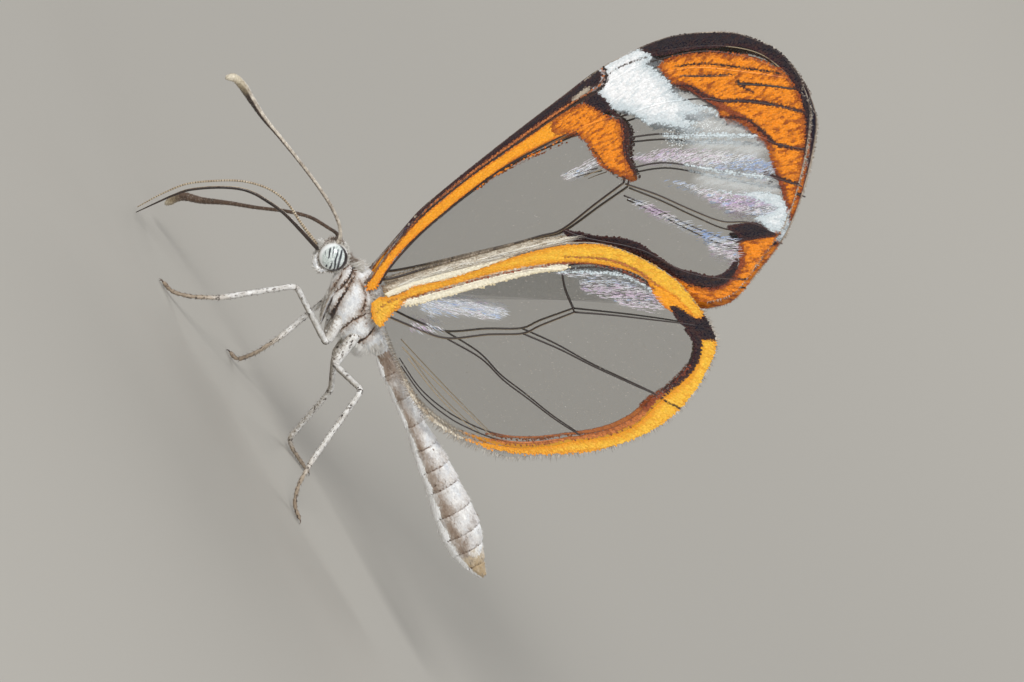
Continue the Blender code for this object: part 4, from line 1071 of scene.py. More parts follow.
# The grooves between the plates of the thorax, in side view, with half their width at each end
PLATE_LINES = (
    (((5.6, 10.5), (6.0, 10.0), (6.3, 9.5), (6.45, 9.1), (6.6, 8.5)), (0.16, 0.07)),
    (((6.2, 10.1), (6.5, 9.6), (6.8, 9.1), (7.0, 8.7), (7.3, 8.2), (7.6, 7.8), (8.0, 7.3), (8.3, 6.9)),
     (0.07, 0.15)),
    (((8.6, 9.4), (8.6, 8.9), (8.55, 8.5), (8.7, 8.1), (8.8, 7.6), (8.9, 7.0)), (0.1, 0.06)),
    (((9.6, 9.5), (9.9, 9.0), (10.0, 8.5), (10.05, 7.9)), (0.06, 0.14)),
    (((6.7, 10.15), (7.2, 10.1), (7.7, 9.95), (8.1, 9.7), (8.35, 9.3)), (0.05, 0.08)),
    (((8.2, 10.2), (8.8, 10.0), (9.05, 9.7), (9.2, 9.1)), (0.06, 0.04)),
    (((6.9, 10.5), (7.6, 10.3), (8.1, 10.3)), (0.07, 0.05)),
    (((4.9, 10.35), (5.4, 10.25), (5.55, 9.9), (5.6, 9.5)), (0.12, 0.16)),
    (((5.9, 9.3), (6.2, 8.75), (6.6, 8.2)), (0.05, 0.07)),
    (((3.65, 9.3), (3.75, 9.85), (4.1, 10.4), (4.8, 10.5)), (0.08, 0.12)),
)
# How far the brown tinge beside a dark line reaches
LINE_TINGE = 0.16
BODY_STEP = 0.07
BODY_SIDES = 72
# How many scales lie on a square millimetre, and where the smaller ones of the head end
BODY_SCALES = 95
NECK = 5.6
# The patterns' sizes in millimetres: the grain of one scale beside the next, the slow drift of
# the ground's colour, and one scale's own tone
COAT_GRAIN = 0.12
COAT_DRIFT = 0.4
COAT_SPECK = 0.08
BODY_COLOURS = {
    "shade": ("#85705e", "#b9ada2", 0.4, 0.16, 0.2, 0.5),
    "tan": ("#b39c7a", "#cbbca4", 0.3, 0.15, 0.15, 0.5),
    "belly": ("#ffffff", "#f4f5f3", 0.1, 0.04, 0.03, 0.3),
    "line": ("#1a100e", "#7d5d45", 0.06, 0.07, 0.03, 0.5),
}


def body_markings(points):
    """How deep each point lies in the body's dark lines, brown shades, white belly and tan tip."""
    side_view = points[:, [0, 2]]
    line = np.full(len(points), NOWHERE)
    for path, (start, end) in PLATE_LINES:
        away, share = distance_to(side_view, smooth_path(path, 0.3))
        line = np.maximum(line, start + (end - start) * share - away)
    tinge = line + LINE_TINGE
    table = np.array(BODY)
    low, high = (np.interp(points[:, 0], table[:, 0], table[:, column]) for column in (1, 2))
    height = (points[:, 2] - low) / (high - low)
    tail = points[:, 0] > ABDOMEN_RINGS[0]
    to_next = np.full(len(points), 9.0)
    for ring in ABDOMEN_RINGS[1:-1]:
        lean = ring + RING_LEAN * (height - 0.5) - points[:, 0]
        to_next = np.where(lean > 0, np.minimum(to_next, lean), to_next)
        line = np.maximum(line, np.where(tail & (height > 0.12), 0.04 - np.abs(lean), NOWHERE))
    # Dark spots: a few on the abdomen, more on the head, and large ones on the thorax
    spots = wavy(points, 0.28, 5) - 1.45
    front_spots = np.where(points[:, 0] < 6.1, spots * 0.2 + 0.08, spots * 0.3)
    line = np.maximum(line, np.where(tail, spots * 0.2, front_spots))
    belly = np.where(tail, (0.2 + 0.04 * np.sin(to_next * 3) - height) * (high - low), NOWHERE)
    low_band = (0.34 - np.abs(height - 0.36)) * (1.25 - 0.5 * to_next.clip(0, 1.2)) - 0.04
    rear_band = (0.3 - to_next) * (1.1 - height)
    front = (14.2 - points[:, 0]) * 0.18
    mottle = wavy(points * (0.6, 1, 1), 0.6, 2) * 0.07
    shade = np.where(tail, np.maximum(np.maximum(low_band, rear_band), front) + mottle, tinge + mottle * 1.6)
    tan = (points[:, 0] - 25.3) * 0.5 + wavy(points, 0.5, 4) * 0.12
    tan = np.where(points[:, 0] > 24.6, tan, NOWHERE)
    return {"shade": shade, "tan": tan, "belly": belly, "line": line}


def body_rings():
    """The skin's rings, with a step behind each ring of the abdomen and grooves on the thorax."""
    table = smooth_path(BODY, BODY_STEP)
    places = np.arange(BODY[0][0], BODY[-1][0], BODY_STEP)
    low, high, wide = (np.interp(places, table[:, 0], table[:, column]) for column in (1, 2, 3))
    angles = 2 * np.pi * np.arange(BODY_SIDES) / BODY_SIDES
    rings = np.zeros((len(places), BODY_SIDES, 3))
    middle, tall = (low + high) / 2, (high - low) / 2
    rings[:, :, 0] = places[:, None]
    rings[:, :, 1] = wide[:, None] * np.cos(angles)
    rings[:, :, 2] = middle[:, None] + tall[:, None] * np.sin(angles)
    out = np.zeros_like(rings)
    out[:, :, 1] = np.cos(angles)
    out[:, :, 2] = np.sin(angles)
    flat = rings.reshape(-1, 3)
    lines = body_markings(flat)["line"].reshape(rings.shape[:2])
    sink = 0.08 * np.exp(-((np.minimum(lines - 0.05, 0) / 0.07) ** 2))
    rise = wavy(flat, 0.9, 8).reshape(rings.shape[:2]) * 0.022
    ring_at = np.searchsorted(ABDOMEN_RINGS, places)
    starts = np.array((ABDOMEN_RINGS[0], *ABDOMEN_RINGS, ABDOMEN_RINGS[-1]))
    start, end = starts[ring_at.clip(0, len(starts) - 2)], starts[(ring_at + 1).clip(0, len(starts) - 1)]
    behind = places > ABDOMEN_RINGS[0]
    swell = np.where(behind, ((places - start) / np.maximum(end - start, 0.1)).clip(0, 1) ** 1.5, 0.0)
    rise = rise + (RING_STEP * swell)[:, None] - np.where(behind, RING_STEP / 2, 0)[:, None]
    return rings + out * (rise - sink)[:, :, None]


def ring_normals(rings):
    """The way straight out of the surface at each point of the rings."""
    along = np.gradient(rings, axis=0)
    around = np.roll(rings, -1, axis=1) - np.roll(rings, 1, axis=1)
    normals = np.cross(around, along)
    normals /= np.maximum(np.linalg.norm(normals, axis=2), 1e-12)[:, :, None]
    centre = rings.mean(1, keepdims=True)
    return -normals if ((rings - centre) * normals).sum() < 0 else normals


def spots_on(rings, per_area, rng):
    """Random places spread evenly over the rings' surface, with normals, ways and the unwrap."""
    normals = ring_normals(rings)
    count, sides, _ = rings.shape
    a = rings[:-1]
    b = np.roll(rings, -1, axis=1)[:-1]
    c = rings[1:]
    area = np.linalg.norm(np.cross(b - a, c - a), axis=2)
    total = int(area.sum() * per_area)
    cells = rng.choice(area.size, total, p=(area / area.sum()).ravel())
    row, column = cells // sides, cells % sides
    s, t = rng.random(total)[:, None], rng.random(total)[:, None]
    after = (column + 1) % sides

    def blended(grid):
        near = grid[row, column] * (1 - s) + grid[row, after] * s
        far = grid[row + 1, column] * (1 - s) + grid[row + 1, after] * s
        return near * (1 - t) + far * t

    unwrap = np.stack(((row + t[:, 0]) / count, (column + s[:, 0]) / sides), axis=1)
    way = unit(rings[row + 1, column] - rings[row, column])
    return blended(rings), unit(blended(normals)), way, unwrap


def coat_paint(name, base, colours, base_to, roughness=0.65):
    """Body scales: chalky blades, each with a tone of its own, over the same markings as the skin."""
    paint, tree, surface = new_material(name)
    spot = add(tree, "Attribute", {}, "Vector", attribute_name="spot")
    grain = add(tree, "TexNoise", {"Vector": spot, "Scale": 1 / COAT_GRAIN, "Detail": 1.0})
    drift = add(tree, "TexNoise", {"Vector": spot, "Scale": 1 / COAT_DRIFT, "Detail": 3.0})
    share = add(tree, "MapRange", {"Value": drift, "From Min": 0.35, "From Max": 0.7})
    ground = add(tree, "Mix", {0: share, 6: linear(base), 7: linear(base_to)}, 2, data_type="RGBA")
    colour, _ = layered(tree, ground, colours, grain, drift)
    single = add(tree, "TexNoise", {"Vector": spot, "Scale": 1 / COAT_SPECK, "Detail": 0.0})
    tree.links.new(toned(tree, colour, single), surface.inputs["Base Color"])
    surface.inputs["Roughness"].default_value = roughness
    surface.inputs["Sheen Weight"].default_value = 0.2
    rise = add(tree, "Bump", {"Height": grain, "Strength": 0.5, "Distance": 0.00003})
    tree.links.new(rise, surface.inputs["Normal"])
    return paint


body_paint = coat_paint("white_body_scales", "#f6f6f4", BODY_COLOURS, "#cfd2d6")
rings = body_rings()
skin_points = closed_rings(rings)
body_values = {**body_markings(skin_points), "spot": skin_points}
new_piece(
    "body_skin", skin_points, ring_faces(len(rings), BODY_SIDES), body_paint,
    ("head", "collar", "thorax", "abdomen_base", "abdomen_middle", "abdomen_tip"), body_values,
)
rng = np.random.default_rng(31)
roots, normal, way, unwrap = spots_on(rings, BODY_SCALES, rng)
values = {**body_markings(roots), "spot": roots}
length = np.where(roots[:, 0] < NECK, 0.09, 0.15) * rng.uniform(0.8, 1.25, len(roots))
turned = way + rng.normal(0, 0.18, way.shape)
out = unit(normal + way * 0.05)
scatter(
    "body_scales", roots, turned, out, length, length * 0.62, unwrap, values, body_paint,
)


# Hair-like scales stand on the body in tufts: a white ruff behind the head, a white beard
# under the thorax and behind the hips, brown ones on the crown, and a short nap elsewhere.
# Each tuft: its middle, its spread, how many hairs, their length, the way they lean, their tones
TUFTS = (
    ((5.45, 0.0, 10.35), 0.32, 260, 0.42, (-0.2, 0.0, 1.0), (0.0, 0.5)),
    ((6.0, 0.5, 10.6), 0.38, 300, 0.5, (0.4, 0.4, 1.0), (0.5, 1.0)),
    ((4.1, 0.0, 10.15), 0.28, 220, 0.34, (-0.7, 0.0, 0.7), (0.0, 0.35)),
    ((3.85, 0.15, 9.1), 0.26, 260, 0.28, (-1.0, 0.0, -0.3), (0.75, 1.0)),
    ((5.35, 0.6, 9.2), 0.3, 220, 0.32, (0.4, 0.8, -0.3), (0.5, 1.0)),
    ((7.0, 0.2, 7.6), 0.45, 160, 0.35, (0.5, 0.1, -0.8), (0.6, 1.0)),
    ((8.8, 0.3, 7.2), 0.5, 200, 0.4, (0.8, 0.2, -0.5), (0.7, 1.0)),
    ((10.4, 0.4, 8.0), 0.4, 360, 0.7, (0.7, 0.2, -0.7), (0.75, 1.0)),
    ((10.9, 0.5, 8.9), 0.4, 200, 0.5, (0.9, 0.3, 0.1), (0.6, 1.0)),
    ((8.3, 0.9, 10.3), 0.5, 260, 0.6, (0.8, 0.5, 0.5), (0.4, 1.0)),
)
# How many hairs of the nap stand on a square millimetre
NAP_HAIRS = 16
body_hair_paint = hair_paint("white_body_hair", ("#4a382b", "#8b7663", "#dcd6cb", "#fbfaf7"))


def onto_body(points):
    """The nearest places on the body's skin, with their normals and the unwrap."""
    table = np.array(BODY)
    low, high, wide = (np.interp(points[:, 0], table[:, 0], table[:, column]) for column in (1, 2, 3))
    middle, tall = (low + high) / 2, (high - low) / 2
    angle = np.arctan2((points[:, 2] - middle) / tall, points[:, 1] / wide)
    normal = unit(np.stack((np.zeros(len(points)), np.cos(angle) / wide, np.sin(angle) / tall), axis=1))
    place = np.stack((points[:, 0], wide * np.cos(angle), middle + tall * np.sin(angle)), axis=1)
    return place, normal, np.stack(((points[:, 0] - 3.7) / 23.3, angle / 6.2832 % 1.0), axis=1)


def tufts(name, places, seed, paint):
    """The same tufts on both sides of the body, as one piece."""
    rng = np.random.default_rng(seed)
    roots, ways, normals, lengths, tones, unwraps = [], [], [], [], [], []
    for centre, spread, count, length, lean, tone in places:
        for _, sign in BOTH_SIDES:
            points = np.array(centre) * (1, sign, 1) + rng.normal(0, spread * 0.5, (count, 3))
            root, normal, unwrap = onto_body(points)
            way = unit(normal) * 0.55 + np.array(lean) * (1, sign, 1) + rng.normal(0, 0.22, (count, 3))
            roots.append(root)
            ways.append(way)
            normals.append(normal)
            lengths.append(length * rng.uniform(0.5, 1.15, count))
            tones.append(rng.uniform(*tone, count))
            unwraps.append(unwrap)
    hairs(
        name, np.vstack(roots), np.vstack(ways), np.vstack(normals), np.concatenate(lengths), 0.013,
        np.vstack(unwraps), np.concatenate(tones), paint,
    )


tufts("body_tufts", TUFTS, 41, body_hair_paint)

rng = np.random.default_rng(43)
roots, normal, way, unwrap = spots_on(rings, NAP_HAIRS, rng)
clear = body_markings(roots)["line"] < -0.1
roots, normal, way, unwrap = roots[clear], normal[clear], way[clear], unwrap[clear]
marked = body_markings(roots)
brown = (marked["shade"] > 0) & (marked["belly"] < 0)
tone = np.clip(0.85 + rng.normal(0, 0.15, len(roots)) - 0.45 * brown, 0, 1)
way = way + normal * 0.45 + rng.normal(0, 0.15, way.shape)
length = rng.uniform(0.12, 0.3, len(roots))
hairs("body_nap", roots, way, normal, length, 0.01, unwrap, tone, body_hair_paint)


# The eyes: two domes of clear cornea over thousands of tiny facets. Pigment under them shows
# as a pale green ground crossed by dark stripes, with a dark crescent at the rear. They are
# separate from the head, and a thin white rim of scales goes round each.
EYE_CENTRE = np.array((4.72, 9.42))
EYE_RADIUS = 0.9
# How far out from the middle plane an eye starts, and how far it bulges from there
EYE_IN = 0.42
EYE_DEEP = 0.66
EYE_RINGS = 44
EYE_SIDES = 96
EYE_RIM_HAIRS = 620
# The pigment's grain and drift in millimetres, and one facet. The real facets are 0.025 mm
# across, and these are drawn twice as coarse so that they show
EYE_GRAIN = 0.07
EYE_DRIFT = 0.5
FACET_SIZE = 0.05
EYE_STRIPES = (-0.58, -0.3, -0.06, 0.18, 0.4)
EYE_STRIPE_HALF = (0.03, 0.06, 0.06, 0.075, 0.075)
EYE_TILT = math.radians(14)
EYE_COLOURS = {
    "stripe": ("#16161d", "#6a7078", 0.035, 0.02, 0.025, 0.3),
    "pale": ("#f7f9f8", "#dfe5e3", 0.08, 0.03, 0.04, 0.3),
    "crescent": ("#160c12", "#2b1c22", 0.05, 0.03, 0.03, 0.3),
    "ring": ("#fbfbf8", "#c9c6c0", 0.05, 0.03, 0.03, 0.3),
}


def eye_rings(sign):
    """The rings of one eye's dome, from its flat side at the head outwards."""
    shares = np.linspace(0.0, 0.985, EYE_RINGS)
    angles = 2 * np.pi * np.arange(EYE_SIDES) / EYE_SIDES
    radius = EYE_RADIUS * np.sqrt(1 - shares**2)
    rings = np.zeros((EYE_RINGS, EYE_SIDES, 3))
    rings[:, :, 0] = EYE_CENTRE[0] + radius[:, None] * np.cos(angles)
    rings[:, :, 2] = EYE_CENTRE[1] + radius[:, None] * np.sin(angles)
    rings[:, :, 1] = sign * (EYE_IN + EYE_DEEP * shares)[:, None]
    return rings


def eye_markings(points):
    """How deep each point lies in the eye's dark stripes, pale border, rear crescent and white ring."""
    rise = points[:, [0, 2]] - EYE_CENTRE
    across = rise @ ACROSS[[0, 2]]
    over = rise @ OVER[[0, 2]]
    turned = across * math.cos(EYE_TILT) - over * math.sin(EYE_TILT)
    bent = turned + 0.1 * over**2 + 0.03 * wavy(points, 0.6, 6)
    stripe = np.full(len(points), NOWHERE)
    for place, half in zip(EYE_STRIPES, EYE_STRIPE_HALF):
        stripe = np.maximum(stripe, half - np.abs(bent - place))
    stripe = stripe - 0.09 * (wavy(points, 0.45, 7) + 0.1).clip(0, 1)
    far = np.hypot(across, over)
    stripe = np.where(far > 0.74, stripe - (far - 0.74) * 0.6, stripe)
    pale = far - 0.7 - 0.25 * (across + 0.2).clip(0, 1)
    crescent = np.minimum(np.hypot(across + 0.14, over - 0.12) - 0.82, 0.07)
    return {"stripe": stripe, "pale": pale, "crescent": crescent, "ring": far - 0.875}


eye_paint, tree, surface = new_material("eye_cornea")
spot = add(tree, "Attribute", {}, "Vector", attribute_name="spot")
grain = add(tree, "TexNoise", {"Vector": spot, "Scale": 1 / EYE_GRAIN, "Detail": 1.0})
drift = add(tree, "TexNoise", {"Vector": spot, "Scale": 1 / EYE_DRIFT, "Detail": 2.0})
share = add(tree, "MapRange", {"Value": grain, "From Min": 0.35, "From Max": 0.7})
ground = add(tree, "Mix", {0: share, 6: linear("#e3e9e6"), 7: linear("#a9b5b0")}, 2, data_type="RGBA")
colour, _ = layered(tree, ground, EYE_COLOURS, grain, drift)
tree.links.new(colour, surface.inputs["Base Color"])
surface.inputs["Roughness"].default_value = 0.28
surface.inputs["Coat Weight"].default_value = 0.7
surface.inputs["Coat Roughness"].default_value = 0.08
facet = add(tree, "TexVoronoi", {"Vector": spot, "Scale": 1 / FACET_SIZE}, "Distance")
rise = add(tree, "Bump", {"Height": facet, "Strength": 0.5, "Distance": 0.00001}, invert=True)
tree.links.new(rise, surface.inputs["Normal"])

rim_roots, rim_ways, rim_normals = [], [], []
for side, sign in BOTH_SIDES:
    shell = eye_rings(sign)
    points = closed_rings(shell)
    faces = ring_faces(len(shell), EYE_SIDES)
    if sign > 0:
        faces = [face[::-1] for face in faces]
    values = {**eye_markings(points), "spot": points}
    new_piece(f"eye_{side}", points, faces, eye_paint, (f"eye_{side}",), values)
    rng = np.random.default_rng(53)
    angle = rng.uniform(0, 2 * math.pi, EYE_RIM_HAIRS)
    band = rng.uniform(0.99, 1.12, EYE_RIM_HAIRS)
    around = np.stack((np.cos(angle), np.zeros(EYE_RIM_HAIRS), np.sin(angle)), axis=1)
    out = np.where(band > 1.05, 0.34, 0.44) + rng.uniform(-0.04, 0.04, EYE_RIM_HAIRS)
    root = np.stack((EYE_CENTRE[0] + EYE_RADIUS * band * around[:, 0] * 0.97, sign * out,
                     EYE_CENTRE[1] + EYE_RADIUS * band * around[:, 2] * 0.97), axis=1)
    rim_roots.append(root)
    rim_ways.append(around * 0.9 + np.array((0, sign * 0.55, 0)) + rng.normal(0, 0.2, root.shape))
    rim_normals.append(sideways(sign, EYE_RIM_HAIRS))
root = np.vstack(rim_roots)
rng = np.random.default_rng(54)
rear = (root[:, [0, 2]] - EYE_CENTRE) @ ACROSS[[0, 2]] > 0
tone = np.where(rear, rng.uniform(0.6, 1.0, len(root)), rng.uniform(0.1, 0.9, len(root)))
length = rng.uniform(0.1, 0.2, len(root))
unwrap = rng.random((len(root), 2))
hairs(
    "eye_rim_hairs", root, np.vstack(rim_ways), np.vstack(rim_normals), length, 0.016, unwrap, tone,
    body_hair_paint,
)


# The palps: two upcurved, hairy mouth feelers, white with a few dark hairs, that hold the
# root of the sucking tube between them. They grow from the underside of the head.
PALP = (
    (5.2, 0.34, 8.75), (5.05, 0.36, 8.35), (4.75, 0.38, 8.2), (4.45, 0.38, 8.3), (4.15, 0.36, 8.55),
    (3.98, 0.34, 8.8),
)
PALP_RADII = (0.16, 0.17, 0.16, 0.15, 0.11, 0.03)
PALP_SIDES = 20
PALP_HAIRS = 260


def spread_over(radii, count):
    """Radii for a number of points along a path, read evenly along it."""
    return np.interp(np.linspace(0, 1, count), np.linspace(0, 1, len(radii)), radii)


for side, sign in BOTH_SIDES:
    path = smooth_path(np.array(PALP) * (1, sign, 1), 0.08)
    shell, _ = tube_rings(path, spread_over(PALP_RADII, len(path)), PALP_SIDES)
    points = closed_rings(shell)
    values = {name: np.full(len(points), NOWHERE) for name in BODY_COLOURS} | {"spot": points}
    name = f"palp_{side}"
    faces = ring_faces(len(shell), PALP_SIDES)
    new_piece(name, points, faces, body_paint, (name,), values)
    rng = np.random.default_rng(61)
    roots, normal, way, unwrap = spots_on(shell, PALP_HAIRS, rng)
    tone = np.where(rng.random(len(roots)) < 0.2, 0.1, rng.uniform(0.6, 1.0, len(roots)))
    way = way + normal * 0.6 + rng.normal(0, 0.15, way.shape)
    length = rng.uniform(0.1, 0.24, len(roots))
    name = f"palp_hairs_{side}"
    hairs(name, roots, way, normal, length, 0.013, unwrap, tone, body_hair_paint)


# The feelers: thin rods of about forty short rings, scaled grey, that thicken to a slim club
# with a tan tip. On the left one the side that faces down in view is painted dark brown, as
# painted shade. Each stands in a socket on the head. The left one is held high, and the right
# one low, painted dark brown all over as painted shade.
ANTENNA = {
    "left": (
        (4.2, -0.36, 10.05), (3.7, -0.42, 10.5), (2.9, -0.55, 10.8), (1.6, -0.8, 10.95), (-0.2, -1.1, 10.9),
        (-1.9, -1.35, 10.75), (-3.7, -1.6, 10.55), (-5.3, -1.9, 10.35), (-6.8, -2.1, 10.3),
        (-7.8, -2.3, 10.3), (-8.5, -2.4, 10.15), (-8.85, -2.5, 9.7),
    ),
    "right": (
        (4.2, 0.36, 10.05), (3.8, 0.5, 10.2), (3.2, 0.8, 9.85), (2.4, 1.25, 9.3), (1.8, 1.6, 8.65),
        (1.2, 2.1, 7.75), (0.4, 2.7, 6.4), (-0.5, 3.4, 5.0), (-1.3, 4.1, 3.55), (-2.0, 4.6, 2.55),
        (-2.0, 5.0, 1.4),
    ),
}
FEELER_RINGS = 42
FEELER_SIDES = 16
# Shares of the length, and the radius at each
FEELER_RADII = (
    (0, 0.015, 0.03, 0.06, 0.5, 0.66, 0.8, 0.9, 0.975, 1.0),
    (0.16, 0.17, 0.13, 0.11, 0.115, 0.14, 0.22, 0.28, 0.25, 0.12),
)
FEELER_BRISTLES = 75
FEELER_COLOURS = {
    "joint": ("#5b4a3c", "#8b7a68", 0.03, 0.01, 0.015, 0.3),
    # Below: painted shade along the side that faces down in view
    "below": ("#23160f", "#4a3526", 0.04, 0.02, 0.02, 0.3),
    "tan": ("#d6ccb6", "#a89878", 0.3, 0.1, 0.2, 0.4),
}
feeler_paint = {
    "left": coat_paint("grey_feeler_scales", "#d8cebd", FEELER_COLOURS, "#8d8071", 0.5),
    # The right feeler's paint is a darker copy of the left one's: painted shade all over
    "right": coat_paint("shaded_feeler_scales", "#5e4837", FEELER_COLOURS, "#37271c", 0.5),
}


def lengths_along(path):
    """How far along the path each of its points is."""
    return np.r_[0, np.cumsum(np.linalg.norm(np.diff(path, axis=0), axis=1))]


for side, line in ANTENNA.items():
    path = smooth_path(line, 0.07)
    share = lengths_along(path) / lengths_along(path)[-1]
    in_ring = (share * FEELER_RINGS) % 1.0
    groove = 0.09 * np.exp(-((np.minimum(in_ring, 1 - in_ring) / 0.12) ** 2))
    shell, _ = tube_rings(path, np.interp(share, *FEELER_RADII) * (1 - groove), FEELER_SIDES)
    points = closed_rings(shell)
    share = on_rings(share, FEELER_SIDES)
    in_ring = (share * FEELER_RINGS) % 1.0
    # Painted shade on the left feeler: dark brown on the side that faces down in view
    over = (points - on_rings(path, FEELER_SIDES)) @ view_up
    values = {
        "joint": 0.02 - np.minimum(in_ring, 1 - in_ring) * 0.35,
        "below": (-over - 0.06) if side == "left" else np.full(len(points), -0.02),
        "tan": (share - (0.9 if side == "left" else 0.95)) * 4,
        "spot": points,
    }
    nodes = (f"antenna_{side}", f"antenna_club_{side}")
    faces = ring_faces(len(shell), FEELER_SIDES)
    new_piece(f"antenna_{side}", points, faces, feeler_paint[side], nodes, values)
    rng = np.random.default_rng(71)
    roots, normal, way, unwrap = spots_on(shell, FEELER_BRISTLES, rng)
    length = rng.uniform(0.05, 0.1, len(roots))
    tone = rng.uniform(0.0, 0.6, len(roots))
    name = f"antenna_bristles_{side}"
    way = way + normal * 0.35
    hairs(name, roots, way, normal, length, 0.008, unwrap, tone, body_hair_paint)


# The sucking tube: two grooved half tubes of dark, rubbery chitin, ringed all the way down,
# uncoiled and curved in one long arch to where it probes. The halves run side by side here,
# with a gap between them, from between the palps to the floor.
PROBOSCIS = {
    "left": (
        (4.3, -0.2, 8.95), (3.7, -0.3, 8.8), (1.7, -0.42, 8.4), (0.6, -0.42, 8.1), (-0.4, -0.42, 7.65),
        (-1.2, -0.42, 7.2), (-1.9, -0.42, 6.55), (-2.65, -0.42, 5.4), (-3.3, -0.42, 3.95),
        (-3.5, -0.42, 2.9), (-3.6, -0.42, 1.8), (-3.7, -0.42, 0.4),
    ),
    "right": (
        (4.3, 0.2, 8.95), (3.8, 0.3, 8.85), (2.1, 0.42, 8.65), (0.9, 0.42, 8.6), (0.0, 0.42, 8.4),
        (-1.0, 0.42, 7.85), (-2.0, 0.42, 6.85), (-2.8, 0.42, 5.5), (-3.5, 0.42, 3.9), (-3.7, 0.42, 2.6),
        (-3.75, 0.42, 1.6), (-3.75, 0.42, 0.5),
    ),
}
TUBE_RADII = {
    "left": (0.15, 0.13, 0.11, 0.11, 0.105, 0.1, 0.085, 0.06, 0.03),
    "right": (0.13, 0.1, 0.075, 0.07, 0.07, 0.065, 0.06, 0.05, 0.03),
}
TUBE_SIDES = 14
TUBE_RING = 0.16
TUBE_COLOURS = {
    "joint": ("#0f0a08", "#1c120d", 0.01, 0.005, 0.01, 0.3),
    # Edge: a pale strip along the side of each half that faces up in view, a painted highlight
    "edge": ("#c9b89c", "#8c765e", 0.03, 0.02, 0.02, 0.3),
}
tube_paint = {
    "left": coat_paint("ringed_tube_chitin", "#3a2a1f", TUBE_COLOURS, "#1b120d", 0.35),
    "right": coat_paint("pale_tube_chitin", "#c9b99f", TUBE_COLOURS, "#9b8568", 0.35),
}

for side in PROBOSCIS:
    path = smooth_path(PROBOSCIS[side], 0.04)
    place = (lengths_along(path) / TUBE_RING) % 1.0
    radii = spread_over(TUBE_RADII[side], len(path)) * (0.93 + 0.07 * np.sin(place * math.pi))
    shell, _ = tube_rings(path, radii, TUBE_SIDES, flat=0.85)
    points = closed_rings(shell)
    # The painted highlight runs along the side that faces up in view
    over = (points - on_rings(path, TUBE_SIDES)) @ view_up
    in_ring = np.r_[np.repeat(place, TUBE_SIDES), 0.5, 0.5]
    values = {"joint": 0.015 - np.minimum(in_ring, 1 - in_ring) * 0.1, "edge": over - 0.06, "spot": points}
    nodes = [f"proboscis_{part}_{side}" for part in ("base", "arch", "tip")]
    faces = ring_faces(len(shell), TUBE_SIDES)
    new_piece(f"proboscis_{side}", points, faces, tube_paint[side], nodes, values)


# The legs: hip, thigh, shin and a foot of five joints, in white scales speckled with dark
# ones, with rows of thin spines on the shin and foot and a pair of claws at the end.
# Each turns in a socket under the thorax.
LEG = {
    ("mid", "left"): (
        (8.0, -0.7, 8.3), (9.12, -0.85, 6.35), (4.5, -3.2, 6.95), (2.7, -3.8, 2.6), (1.75, -3.9, 1.15),
        (0.9, -3.95, 0.3), (0.0, -4.0, 0.17),
    ),
    ("mid", "right"): (
        (8.0, 0.7, 8.3), (9.12, 0.85, 6.35), (7.9, 4.5, 7.6), (8.65, 4.2, 3.25), (8.8, 4.3, 1.6),
        (8.65, 4.4, 0.3), (7.95, 4.55, 0.17),
    ),
    ("hind", "left"): (
        (9.4, -0.7, 8.5), (10.5, -1.0, 6.15), (11.9, -4.5, 7.3), (14.15, -5.5, 2.35), (14.9, -5.75, 1.1),
        (15.8, -5.9, 0.3), (16.8, -6.0, 0.17),
    ),
    ("hind", "right"): (
        (9.4, 0.7, 8.5), (10.5, 1.0, 6.15), (12.8, 3.0, 4.55), (14.7, 5.0, 0.5), (15.4, 5.5, 0.27),
        (16.5, 6.2, 0.2), (17.6, 6.8, 0.17),
    ),
}
KNEE_BEND = 0.45
LEG_SIDES = 18
# From the hip past the knee and the ankle to the end of the foot
LEG_RADII = (0.42, 0.3, 0.17, 0.2, 0.17, 0.185, 0.155, 0.165, 0.15, 0.125, 0.12, 0.05)
FOOT_JOINTS = 5
# How much thinner the foot is between two joints
FOOT_NECK = 0.28
LEG_SCALES = 105
SPINE_STEP = 0.34
# The corners of a ring on which the spines stand
SPINE_CORNERS = (2, 7, 11, 16)
CLAW_SIDES = 8
LEG_COLOURS = {
    "under": ("#8d8478", "#c3bbb0", 0.1, 0.06, 0.05, 0.4),
    "tan": ("#8f7d69", "#b9aa96", 1.2, 0.2, 0.4, 0.4),
    "fleck": ("#2b211b", "#6b5d52", 0.03, 0.04, 0.02, 0.3),
}
leg_paint = coat_paint("white_leg_scales", "#f0efec", LEG_COLOURS, "#c2bdb5", 0.6)

# The claws are bare chitin, dark and smooth like horn, with paler flecks a third of a
# millimetre long
CLAW_FLECK = 0.3
claw_paint, tree, surface = new_material("claw_chitin")
spot = add(tree, "VectorMath", {0: add(tree, "TexCoord", {}, "Object"), "Scale": 1 / MM}, operation="SCALE")
fleck = add(tree, "TexNoise", {"Vector": spot, "Scale": 1 / CLAW_FLECK, "Detail": 2.0})
share = add(tree, "MapRange", {"Value": fleck, "From Min": 0.42, "From Max": 0.68})
colour = add(tree, "Mix", {0: share, 6: linear("#2b1d15"), 7: linear("#5e452f")}, 2, data_type="RGBA")
tree.links.new(colour, surface.inputs["Base Color"])
surface.inputs["Roughness"].default_value = 0.3
surface.inputs["IOR"].default_value = CHITIN_IOR
fine = add(tree, "TexNoise", {"Vector": spot, "Scale": 2 / CLAW_FLECK, "Detail": 1.0})
rise = add(tree, "Bump", {"Height": fine, "Strength": 0.4, "Distance": 0.00002})
tree.links.new(rise, surface.inputs["Normal"])


